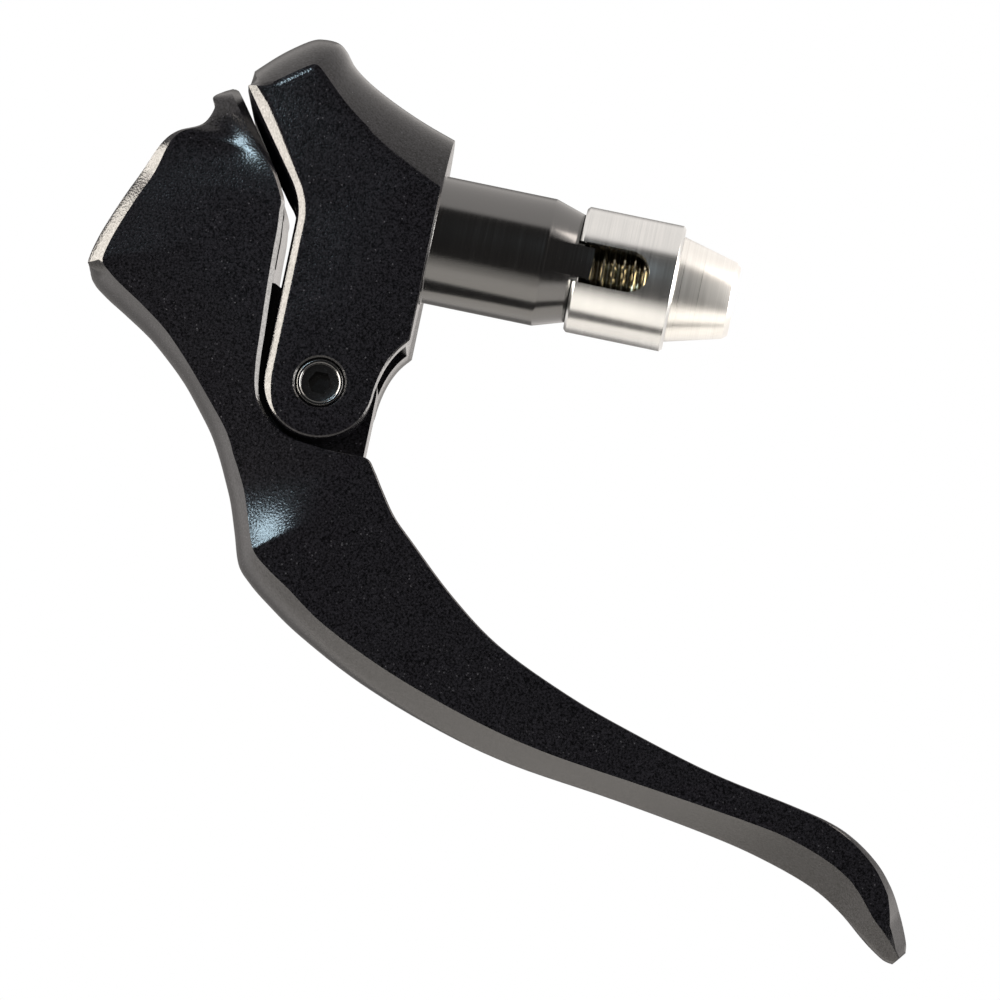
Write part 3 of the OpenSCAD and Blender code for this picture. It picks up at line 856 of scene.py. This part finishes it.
# Where a ring has its points: shares of the front, the bevel, the side face and the back, turns of the rim
FRONT_SHARES = (0, 0.3, 0.6, 0.85)
BAND_SHARES = (0, 0.15, 0.4, 0.7, 0.88, 1.0)
SIDE_SHARES = (0.04, 0.15, 0.3, 0.45, 0.6, 0.72, 0.84, 0.93, 1.0)
BACK_SHARES = (0.8, 0.5, 0.0)
RIM_TURNS = (22, 45, 67, 90)
# Powers that bend the bevel and the hollow a little
BAND_POWER = 1.12
HOLLOW_POWER = 1.15

# Knob: front x, front z, share of the way down the lean, half widths, bevel, rim, dip
KNOB = [
    (-21.5, 40.05, 0, 2.8, 3.2, 0.5, 1.2, 0), (-22.6, 38.95, 0.04, 5.4, 6.0, 0.5, 1.3, 0),
    (-23.7, 37.6, 0.13, 7.3, 8.4, 0.5, 1.4, 0), (-23.1, 35.9, 0.26, 8.5, 9.8, 0.5, 1.4, 0),
    (-24.2, 33.2, 0.41, 9.7, 10.7, 0.5, 1.4, 0.3), (-27.4, 31.3, 0.58, 10.95, 11.25, 0.6, 1.0, 0.6),
    (-29.3, 29.0, 0.76, 11.35, 11.45, 1.1, 0.5, 0.25)]
# Head: front x, front z, distance of the back from the gap's line, back z, half width in front, bevel, rim
HEAD = [
    (-31.1, 24.7, -0.85, 24.6, 11.35, 1.8, 0.5), (-33.2, 19.8, -0.65, 23.0, 11.4, 2.0, 0.55),
    (-35.2, 14.3, -0.5, 21.7, 11.4, 2.2, 0.6), (-36.0, 10.2, -0.4, 20.3, 11.45, 2.2, 0.6),
    (-35.2, 8.5, -0.35, 18.0, 11.1, 2.7, 0.6), (-33.2, 7.0, -0.2, 14.2, 10.8, 2.9, 0.6),
    (-30.3, 5.3, 0.05, 10.2, 10.6, 3.0, 0.65), (-26.1, 2.7, 0.35, 5.5, 10.4, 2.8, 0.65),
    (-22.5, -0.2, 0.6, 1.0, 10.3, 2.5, 0.6)]
HEAD_CORNER = 3
# Neck: front x, front z, half width in front
NECK = [(-19.5, -3.0, 10.2), (-16.9, -6.0, 10.1), (-14.5, -9.0, 9.9), (-13.1, -11.2, 9.7)]
# Shoulder: front x, front z, back x, back z from the shelf, half widths, bevel
SHOULDER = [
    (-12.1, -13.0, 3.4, 0.1, 9.5, 11.5, 2.2), (-11.0, -15.2, 6.4, 0.1, 9.3, 11.5, 2.3),
    (-9.5, -18.4, 8.9, 0.0, 9.45, 11.4, 2.4), (-8.0, -22.6, 10.2, -1.4, 10.1, 11.3, 2.5),
    (-6.5, -26.9, 12.1, -4.2, 11.25, 11.1, 2.7), (-4.4, -29.2, 14.4, -7.3, 10.8, 10.9, 3.1),
    (-1.4, -31.5, 17.5, -10.2, 10.6, 10.6, 3.5)]
SHOULDER_CORNER = 4
# Blade: front x, front z, back x, back z, bevel, rim
BLADE = [
    (4.2, -35.1, 24.6, -25.8, 3.7, 0.4), (14.1, -40.0, 32.6, -31.4, 4.2, 0.4),
    (26.0, -44.2, 43.5, -36.2, 4.7, 0.4), (37.6, -47.0, 53.2, -39.4, 4.9, 0.4),
    (53.4, -49.0, 65.7, -42.8, 4.9, 0.4), (68.2, -51.3, 77.8, -45.0, 4.9, 0.4),
    (76.5, -53.2, 83.9, -46.3, 4.7, 0.5), (83.3, -55.5, 87.9, -48.0, 4.3, 0.6),
    (87.8, -58.1, 91.6, -50.6, 3.6, 0.8), (91.3, -60.9, 94.2, -53.5, 2.9, 1.2),
    (93.2, -62.3, 96.1, -56.5, 2.6, 2.6), (95.2, -63.5, 97.8, -60.2, 1.9, 2.1),
    (96.6, -63.8, 98.1, -61.9, 0.9, 1.1)]
# Stations where a ridge runs across the side face: the head's corner and the shoulder's
RIDGES = (len(KNOB) + HEAD_CORNER, len(KNOB) + len(HEAD) + len(NECK) + SHOULDER_CORNER)


def station(front, back, halves, bevel, rim, tilt=RIM_TILT, crown=0.0, facet=0.0, dip=0.0,
            slope=BLADE_SLOPE, rim_hollow=0.0):
    """One station as a row: place of the front and the back, half widths there, bevel in front, rim at the
    back, tilt of the bevel from the side face, crown of the back, share of the rim that is a flat facet, dip
    in the side face, slope of the facet, and 1 where the side's hollow ends at the rim."""
    return (*front, *back, *halves, bevel, rim, tilt, crown, facet, dip, slope, rim_hollow)


def lever_stations(tip_half):
    """All stations from the head's knob to the blade's tip."""
    rows = []
    for x, z, share, front, back, bevel, rim, dip in KNOB:
        lean = mix(LEAN_TOP, LEAN_BEND, share)
        rows.append(station((x, z), lean, (front, back), bevel, rim, tilt=BAND_TILT, facet=1.0, dip=dip,
                            slope=KNOB_SLOPE, rim_hollow=1.0))
    for i, (x, z, nearer, back_z, front, bevel, rim) in enumerate(HEAD):
        tilt = BAND_TILT if i <= HEAD_CORNER else RIM_TILT
        rows.append(station((x, z), (GAP_X + nearer, back_z), (front, HALF_WIDTH), bevel, rim, tilt=tilt,
                            crown=-0.5, facet=1.0, slope=HEAD_SLOPE))
    for i, (x, z, front) in enumerate(NECK):
        angle = math.radians(180 + NECK_TURN * (i + 1))
        back = (ARC_R - 0.7) * Vector((math.cos(angle), math.sin(angle)))
        rows.append(station((x, z), back, (front, HALF_WIDTH), bevel=2.3, rim=0.5, crown=-0.2, facet=1.0,
                            slope=HEAD_SLOPE))
    for x, z, back_x, drop, front, back, bevel in SHOULDER:
        rows.append(station((x, z), (back_x, drop + SHELF_Z), (front, back), bevel, rim=0.4))
    count = len(BLADE)
    for i, (x, z, back_x, back_z, bevel, rim) in enumerate(BLADE):
        half = mix(BLADE_ROOT_HALF, TIP_SWELL * tip_half, (i + 1) / count)
        if i >= count - 2:
            half = tip_half * (0.65 if i == count - 1 else 1)
        facet = ramped(i, 5, 3)
        rows.append(station((x, z), (back_x, back_z), (half, half), bevel, rim, facet=facet,
                            rim_hollow=facet))
    return rows


def smooth_stations(rows, steps):
    """Stations with more between them. Lines and widths run on smooth curves, and the widths break at
    the ridges; the rest changes evenly."""
    last = len(rows) - 1
    result = []
    for i in range(last):
        a, b, c, d = rows[max(i - 1, 0)], rows[i], rows[i + 1], rows[min(i + 2, last)]
        for k in range(steps):
            t = k / steps
            row = []
            for n in range(len(b)):
                before = 2 * b[n] - c[n] if n > 3 and i in RIDGES else a[n]
                after = 2 * c[n] - b[n] if n > 3 and i + 1 in RIDGES else d[n]
                row.append(spline(before, b[n], c[n], after, t) if n < 7 else mix(b[n], c[n], t))
            result.append(row)
    result.append(list(rows[last]))
    return result


class CLUTCH_OT_lever(bpy.types.Operator):
    """Build the forged lever: head, neck and blade in one skin, with its web, pocket and cable slot"""

    bl_idname = "clutch.lever"
    bl_label = "Lever"

    def execute(self, context):
        sizes = context.scene.clutch_lever.lever
        rows = smooth_stations(lever_stations(sizes.tip_width / MM / 2), sizes.steps)
        skin = lofted([self.ring(row, sizes.hollow / MM) for row in rows])
        web_half = node_box("pivot_bush_far")[1].y - 0.8
        web = plate(self.web(), -web_half, web_half)
        bmesh.ops.translate(web, verts=web.verts, vec=(PIVOT.x, 0, PIVOT.z))
        solid = combined(skin, [web], "UNION")
        solid = combined(solid, self.cuts(), "DIFFERENCE")
        coat = coat_of(context.scene.clutch_lever.finish)
        finish_piece(solid, "forged_lever", "lever", coat, sharp=26)
        return {"FINISHED"}

    def ring(self, row, hollow):
        """One ring of the skin: front, bevel, side face that hollows towards the front, rim and back."""
        front = Vector(row[:2])
        back = Vector(row[2:4])
        wide, back_half, bevel, rim, tilt, back_crown, facet, dip, slope, rim_hollow = row[4:]
        run = (back - front).length
        way = (back - front).normalized()
        bevel = min(bevel, 0.45 * run)
        rim = min(rim, 0.5 * run)
        crowned = (tilt - BAND_TILT) / (RIM_TILT - BAND_TILT)
        flat = wide - min(0.92 * wide, bevel * math.tan(math.radians(tilt)))
        crown = min(0.8 * wide, max(0.05 * wide, 2 * (wide - bevel * math.tan(math.radians(RIM_TILT)))))
        sag = 0.5 * crown * bevel / (wide - 0.5 * crown)
        start = mix(flat, crown, crowned)
        half = [(front + way * crowned * sag * t ** 2, t * start) for t in FRONT_SHARES]
        for t in BAND_SHARES:
            depth = mix(bevel * t ** BAND_POWER, mix(sag, bevel, t), crowned)
            half.append((front + way * depth, mix(start, wide, t)))
        crease = front + way * bevel
        edge = back - way * rim
        span = (edge - crease).length
        reach = mix(hollow, min(hollow, span), rim_hollow)
        for t in SIDE_SHARES:
            rise = 1 - (1 - min(1, t * span / reach)) ** HOLLOW_POWER
            half.append((mix(crease, edge, t), mix(wide, back_half, rise) - dip * 4 * t * (1 - t)))
        end = half[-1][1]
        deep = min(0.85 * end, slope * rim)
        for angle in RIM_TURNS:
            turn = math.radians(angle)
            along = mix(math.sin(turn), angle / 90, facet)
            drop = mix(rim * (1 - math.cos(turn)), deep * angle / 90, facet)
            half.append((edge + way * rim * along, end - drop))
        end = half[-1][1]
        half += [(back + way * back_crown * (1 - t ** 2), t * end) for t in BACK_SHARES]
        near = [(p.x + PIVOT.x, y, p.y + PIVOT.z) for p, y in half]
        far = [(x, -y, z) for x, y, z in near[-2:0:-1]]
        return near + far

    def web(self):
        """Side outline of the web that carries the bushes, about the pivot."""
        radius = CHEEK_R - 0.1
        inside = GAP_X - 4
        outline = [Vector((inside, WEB_TOP)), Vector((GAP_X, WEB_TOP)), Vector(WEB_STOP)]
        outline += arc(Vector((0, 0)), radius, 60, 0, 24)
        outline += [Vector((radius, SHELF_Z - 1.5)), Vector((GAP_X + 2, SHELF_Z - 4)), Vector((inside, 0))]
        return outline

    def cuts(self):
        """Bore for the bushes, pocket for the anchor and slot for the cable."""
        pocket_r = node_radius("cable_anchor", 0) + 0.04
        pocket_half = node_box("cable_anchor")[1].y + 0.3
        slot_half = 1.5
        reach = 73
        place = Vector((ANCHOR.x, ANCHOR.z))
        pocket = arc(place, pocket_r, -90, 90, 48)
        pocket += [place + Vector((-reach, pocket_r)), place + Vector((-reach, -pocket_r))]
        pull = math.radians(35)
        slot = [place, place + Vector((0, slot_half)), place + Vector((reach, slot_half)),
                place + reach * Vector((math.cos(pull), -math.sin(pull))), place - Vector((0, slot_half))]
        return [
            across(rod(BUSH_R + 0.02, -9, 9)),
            plate(pocket, -pocket_half, pocket_half),
            plate(slot, -slot_half, slot_half),
        ]


class CLUTCH_OT_anchor(bpy.types.Operator):
    """Build the cable anchor that turns in the lever's head"""

    bl_idname = "clutch.anchor"
    bl_label = "Cable anchor"

    def execute(self, context):
        look = context.scene.clutch_lever.finish
        low, high = node_box("cable_anchor")
        radius = node_radius("cable_anchor", 0)
        profile = [(low.y, CENTER_R), (low.y, radius), (high.y, radius), (high.y, CENTER_R)]
        barrel = across(turned(eased(profile, size=0.3, closed=False)), ANCHOR)
        nipple_r = 3.3
        reach = 9
        seat = rod(nipple_r, ANCHOR.x - reach, ANCHOR.x + 0.5)
        hole = rod(CABLE_R, ANCHOR.x - reach, ANCHOR.x + reach)
        solid = combined(barrel, [seat, hole], "DIFFERENCE")
        brass = plain_metal("turned_brass", look.brass, look.brass_dark, rough=0.28)
        finish_piece(solid, "nipple_barrel", "cable_anchor", brass)
        return {"FINISHED"}


# Soft boxes: name, place from the target, width and height in metres, setting of its power, colour
LAMPS = (
    ("key_box", (-0.364, -0.857, 0.364), 0.18, 0.18, "key_power", (0.66, 0.87, 1.0)),
    ("left_box", (-0.75, -0.35, -0.02), 0.5, 0.9, "left_power", (1.0, 0.93, 0.83)),
    ("right_box", (0.80, -0.30, 0.12), 0.5, 0.7, "right_power", (1.0, 0.96, 0.92)),
    ("top_box", (0.70, -0.25, 0.65), 0.5, 0.5, "top_power", (1.0, 0.90, 0.82)),
)
# Spans over which the surround changes: Y from the camera's side on, Y straight behind, X to the right
FRONT_FADE = (-0.62, -0.50)
REAR_FADE = (0.70, 0.93)
RIGHT_FADE = (0.02, 0.08)
FLOOR_COLOUR = (0.58, 0.57, 0.55, 1)
SENSOR = 36


class CLUTCH_OT_stage(bpy.types.Operator):
    """Set the floor, the soft lights, the white surround and the camera"""

    bl_idname = "clutch.stage"
    bl_label = "Stage"

    def execute(self, context):
        look = context.scene.clutch_lever.stage
        context.scene.view_settings.view_transform = "Standard"
        target = Vector(look.target)
        self.floor(look)
        self.surround(context.scene, look)
        self.lamps(context.scene, look, target)
        self.camera(context.scene, look, target)
        return {"FINISHED"}

    def floor(self, look):
        """Pale round floor that fades into the surround."""
        bm = bmesh.new()
        bmesh.ops.create_circle(bm, cap_ends=True, segments=96, radius=look.floor_size)
        bmesh.ops.translate(bm, verts=bm.verts, vec=(0, 0, look.floor_height))
        mesh = bpy.data.meshes.new("floor")
        bm.to_mesh(mesh)
        bm.free()
        floor = bpy.data.objects.new("floor", mesh)
        bpy.context.scene.collection.objects.link(floor)
        material, tree, shader = new_material("pale_floor")
        feed(tree, shader, Base_Color=FLOOR_COLOUR, Roughness=0.9)
        coords = add(tree, "ShaderNodeTexCoord")
        away = add(tree, "ShaderNodeVectorMath", operation="LENGTH")
        tree.links.new(coords.outputs["Object"], away.inputs[0])
        rim = (0.5 * look.floor_size, 0.98 * look.floor_size)
        blend = add(tree, "ShaderNodeMixShader", Fac=remap(tree, away.outputs["Value"], 0.0, 1.0, rim))
        tree.links.new(shader.outputs["BSDF"], blend.inputs[1])
        tree.links.new(add(tree, "ShaderNodeBsdfTransparent").outputs["BSDF"], blend.inputs[2])
        feed(tree, tree.nodes["Material Output"], Surface=blend.outputs["Shader"])
        mesh.materials.append(material)

    def surround(self, scene, look):
        """White surround, plain white to the camera. What the object mirrors of it is dim on the camera's
        side, and dim straight behind on the left."""
        world = bpy.data.worlds.new("white_surround")
        scene.world = world
        world.use_nodes = True
        tree = world.node_tree
        coords = add(tree, "ShaderNodeTexCoord").outputs["Generated"]
        parts = add(tree, "ShaderNodeSeparateXYZ", Vector=coords).outputs
        side = remap(tree, parts["Y"], look.front_dim, look.surround_light, FRONT_FADE, "SMOOTHSTEP")
        rear = remap(tree, parts["Y"], 1.0, look.rear_dim, REAR_FADE, "SMOOTHSTEP")
        right = remap(tree, parts["X"], 0.0, 1.0, RIGHT_FADE, "SMOOTHSTEP")
        light = times(tree, side, mixed(tree, "FLOAT", right, rear, 1.0))
        seen = add(tree, "ShaderNodeLightPath").outputs["Is Camera Ray"]
        feed(tree, tree.nodes["Background"], Strength=mixed(tree, "FLOAT", seen, light, 1.0),
             Color=mixed(tree, "RGBA", seen, look.surround, (1, 1, 1, 1)))

    def lamps(self, scene, look, target):
        """Soft boxes that face the object."""
        for name, place, width, height, power, tint in LAMPS:
            data = bpy.data.lights.new(name, "AREA")
            data.shape = "RECTANGLE"
            data.size = width
            data.size_y = height
            data.energy = getattr(look, power)
            data.color = tint
            lamp = bpy.data.objects.new(name, data)
            lamp.location = target + Vector(place)
            lamp.rotation_euler = (target - lamp.location).to_track_quat("-Z", "Y").to_euler()
            scene.collection.objects.link(lamp)

    def camera(self, scene, look, target):
        """Camera at the photograph's angle: level with the side face, from a little below, and rolled."""
        level = Vector((-math.sin(look.roll), 0, math.cos(look.roll)))
        near = Vector((0, -1, 0))
        right = Vector((math.cos(look.roll), 0, math.sin(look.roll)))
        out = near * math.cos(look.below) - level * math.sin(look.below)
        up = level * math.cos(look.below) + near * math.sin(look.below)
        data = bpy.data.cameras.new("camera")
        data.sensor_width = SENSOR
        data.lens = SENSOR * look.distance / look.view_width
        data.clip_start = 0.05
        data.clip_end = 100
        camera = bpy.data.objects.new("camera", data)
        turn = Matrix((right, up, out)).transposed().to_4x4()
        camera.matrix_world = Matrix.Translation(target + out * look.distance) @ turn
        scene.collection.objects.link(camera)
        scene.camera = camera


# Sizes and colours that a user would change


def maker(kind, **fixed):
    """Maker of one kind of property, which is then called with a name, a description and a default."""
    def make(name, description, default, **more):
        return kind(name=name, description=description, default=default, **fixed, **more)
    return make


def group(kind, name):
    """Pointer to a group of settings."""
    return bpy.props.PointerProperty(name=name, description=kind.__doc__, type=kind)


# Lengths are in metres, powers in watts
length = maker(bpy.props.FloatProperty, min=0.0, precision=5, unit="LENGTH")
rotation = maker(bpy.props.FloatProperty, subtype="ANGLE")
fraction = maker(bpy.props.FloatProperty, max=1.0, subtype="FACTOR")
amount = maker(bpy.props.FloatProperty, min=0.0)
whole = maker(bpy.props.IntProperty)
colour = maker(bpy.props.FloatVectorProperty, size=4, min=0.0, max=1.0, subtype="COLOR")


class BracketSizes(bpy.types.PropertyGroup):
    """Sizes of the bracket"""

    edge_draft: length("Edge draft", "How far the cheeks' edges lean in to the side faces", 0.00022)
    front_lead: length("Front lead", "How far the middle of the front bulges towards the lever", 0.0002)
    edge_step: length("Edge step", "Width over which the front and the back leave the bevel", 0.0015)
    beak_step: length("Beak step", "Width over which the beak's bulge leaves the bevel", 0.005)
    back_hollow: length("Back hollow", "How far the cheeks' edges are hollowed behind the pivot", 0.0005)
    beak_lead: length("Beak lead", "How far the middle of the beak bulges towards the lever", 0.001)
    bevel_front: length("Front bevel", "Bevel on the side face's edge down the front", 0.0012)
    bevel_beak: length("Beak bevel", "Bevel on the side face's edge under the beak", 0.0018)
    crease_round: length("Crease round", "Round where the crown meets the side face", 0.0009)
    bevel_end: length("End bevel", "Bevel round the cheek's end", 0.0003)
    bevel_back: length("Back bevel", "Bevel on the edge behind the cheek's end", 0.00035)
    stop_bevel: length("Stop bevel", "Bevel along the stop face", 0.00025)
    bevel_tilt: rotation("Bevel tilt", "How steeply the bevel leaves the side face", math.radians(30))
    hole_flare: length("Hole flare", "Break at the rim of the pivot's holes", 0.00025)
    slices: whole("Slices", "Slices from the middle to each side", 14, min=4)


class BarrelSizes(bpy.types.PropertyGroup):
    """Sizes of the mounting barrel"""

    straight: length("Straight part", "Length of the straight part of the barrel", 0.0162)
    key_width: length("Key width", "Width of the two keys", 0.0045)


class ExpanderSizes(bpy.types.PropertyGroup):
    """Sizes of the expander"""

    slot_width: length("Slot width", "Width of the sleeve's slots", 0.006)
    slot_length: length("Slot length", "Length of the slots, round end included", 0.0106)
    thread_pitch: length("Thread pitch", "Pitch of the bolt's thread", 0.0015)


class PivotSizes(bpy.types.PropertyGroup):
    """Sizes of the pivot"""

    head_chamfer: length("Head chamfer", "Width of the chamfer round the screw's head", 0.0003)
    socket: length("Socket", "Width across flats of the hex socket", 0.003)


class LeverSizes(bpy.types.PropertyGroup):
    """Sizes of the lever"""

    tip_width: length("Tip width", "Width of the blade at its tip", 0.008)
    hollow: length("Hollow", "How far the hollow of the side face reaches in from the front", 0.0125)
    steps: whole("Steps", "Rings from one station to the next", 6, min=1)


class Finishes(bpy.types.PropertyGroup):
    """Colours of the finishes"""

    coat: colour("Coat", "Satin black coat", (0.0004, 0.0004, 0.0006, 1))
    coat_light: colour("Coat, light", "Lighter grains of the coat", (0.0056, 0.0055, 0.0070, 1))
    # Colour of the painted glints: light specks in the coat's colour that stand in for glints of the light
    painted_glint: colour("Coat speck", "Light specks in the coat", (0.030, 0.030, 0.034, 1))
    coat_rough: fraction("Coat roughness", "Roughness of the coat", 0.16, min=0.05)
    grain: length("Grain", "Size of the coat's orange peel", 0.0003)
    anodised: colour("Anodised", "Black anodised barrel", (0.0008, 0.0007, 0.0007, 1))
    anodised_dark: colour("Anodised, dark", "Marks on the barrel", (0.0006, 0.0005, 0.0005, 1))
    aluminium: colour("Aluminium", "Bright turned aluminium", (0.76, 0.76, 0.75, 1))
    aluminium_dark: colour("Aluminium, dark", "Marks on the bright aluminium", (0.54, 0.55, 0.55, 1))
    pale: colour("Pale aluminium", "Pale turned aluminium of the nose", (0.93, 0.92, 0.89, 1))
    pale_dark: colour("Pale aluminium, dark", "Marks on the nose", (0.70, 0.69, 0.66, 1))
    plated: colour("Plated steel", "Yellow plated steel of the bolt", (0.62, 0.57, 0.44, 1))
    plated_dark: colour("Plated steel, dark", "Darker plate in the thread", (0.14, 0.12, 0.08, 1))
    black_steel: colour("Black steel", "Black oxide of the pivot's screw", (0.0016, 0.0016, 0.0018, 1))
    black_steel_dark: colour("Black steel, dark", "Darker oxide", (0.0008, 0.0008, 0.0009, 1))
    bronze: colour("Bronze", "Bushes", (0.58, 0.41, 0.21, 1))
    bronze_dark: colour("Bronze, dark", "Oiled bronze", (0.38, 0.25, 0.12, 1))
    brass: colour("Brass", "Cable anchor", (0.72, 0.58, 0.30, 1))
    brass_dark: colour("Brass, dark", "Marks on the anchor", (0.50, 0.38, 0.18, 1))


class StageLook(bpy.types.PropertyGroup):
    """Floor, light and camera"""

    target: bpy.props.FloatVectorProperty(
        name="Target", description="Point at the middle of the view", default=(0.01698, 0.0, -0.03498),
        size=3, subtype="XYZ", unit="LENGTH")
    distance: length("Distance", "Distance from the target to the camera", 1.0)
    view_width: length("View width", "Width of the view at the target", 0.1435)
    roll: rotation("Roll", "How far the camera is rolled", math.radians(11.8))
    below: rotation("Below", "How far below the side view the camera stands", math.radians(6.0))
    floor_height: bpy.props.FloatProperty(
        name="Floor height", description="Height of the floor", default=-0.26, unit="LENGTH")
    floor_size: length("Floor size", "Radius of the floor", 0.5)
    surround: colour("Surround", "Warm white of the surround, as the object mirrors it", (1.0, 0.95, 0.91, 1))
    front_dim: fraction("Front dim", "Light of the surround on the camera's side", 0.06, min=0.0)
    rear_dim: fraction("Rear dim", "Share of the light straight behind, on the left", 0.25, min=0.0)
    surround_light: amount("Surround light", "Light of the rest of the surround", 1.1)
    key_power: amount("Key power", "Power of the cool light left of the camera", 3.2)
    left_power: amount("Left power", "Power of the warm light on the left", 32.0)
    right_power: amount("Right power", "Power of the light on the right", 16.0)
    top_power: amount("Top power", "Power of the warm light above on the right", 4.5)


class ClutchLever(bpy.types.PropertyGroup):
    """All settings of the clutch lever"""

    bracket: group(BracketSizes, "Bracket")
    barrel: group(BarrelSizes, "Barrel")
    expander: group(ExpanderSizes, "Expander")
    pivot: group(PivotSizes, "Pivot")
    lever: group(LeverSizes, "Lever")
    finish: group(Finishes, "Finishes")
    stage: group(StageLook, "Stage")


class CLUTCH_PT_panel(bpy.types.Panel):
    """Panel that lists the pieces and their settings"""

    bl_label = "Clutch lever"
    bl_idname = "CLUTCH_PT_panel"
    bl_space_type = "VIEW_3D"
    bl_region_type = "UI"
    bl_category = "Clutch lever"

    def draw(self, context):
        settings = context.scene.clutch_lever
        for name, operators in PANEL_ROWS:
            box = self.layout.box()
            for operator in operators:
                box.operator(operator)
            group = getattr(settings, name)
            for key in group.__annotations__:
                box.prop(group, key)


PANEL_ROWS = (
    ("bracket", ("clutch.bracket",)),
    ("barrel", ("clutch.barrel",)),
    ("expander", ("clutch.expander", "clutch.bolt")),
    ("pivot", ("clutch.pivot",)),
    ("lever", ("clutch.lever", "clutch.anchor")),
    ("finish", ()),
    ("stage", ("clutch.stage",)),
)
CLASSES = (
    BracketSizes, BarrelSizes, ExpanderSizes, PivotSizes, LeverSizes, Finishes, StageLook, ClutchLever,
    CLUTCH_OT_bracket, CLUTCH_OT_barrel, CLUTCH_OT_expander, CLUTCH_OT_bolt, CLUTCH_OT_pivot, CLUTCH_OT_lever,
    CLUTCH_OT_anchor, CLUTCH_OT_stage, CLUTCH_PT_panel,
)


def register():
    """Register the classes and the settings."""
    for cls in CLASSES:
        bpy.utils.register_class(cls)
    bpy.types.Scene.clutch_lever = bpy.props.PointerProperty(type=ClutchLever)


def unregister():
    """Remove the settings and the classes."""
    del bpy.types.Scene.clutch_lever
    for cls in reversed(CLASSES):
        bpy.utils.unregister_class(cls)


def main():
    """Register the settings, build every piece and set the stage."""
    register()
    bpy.ops.clutch.bracket()
    bpy.ops.clutch.barrel()
    bpy.ops.clutch.expander()
    bpy.ops.clutch.bolt()
    bpy.ops.clutch.pivot()
    bpy.ops.clutch.lever()
    bpy.ops.clutch.anchor()
    bpy.ops.clutch.stage()


if __name__ == "__main__":
    main()
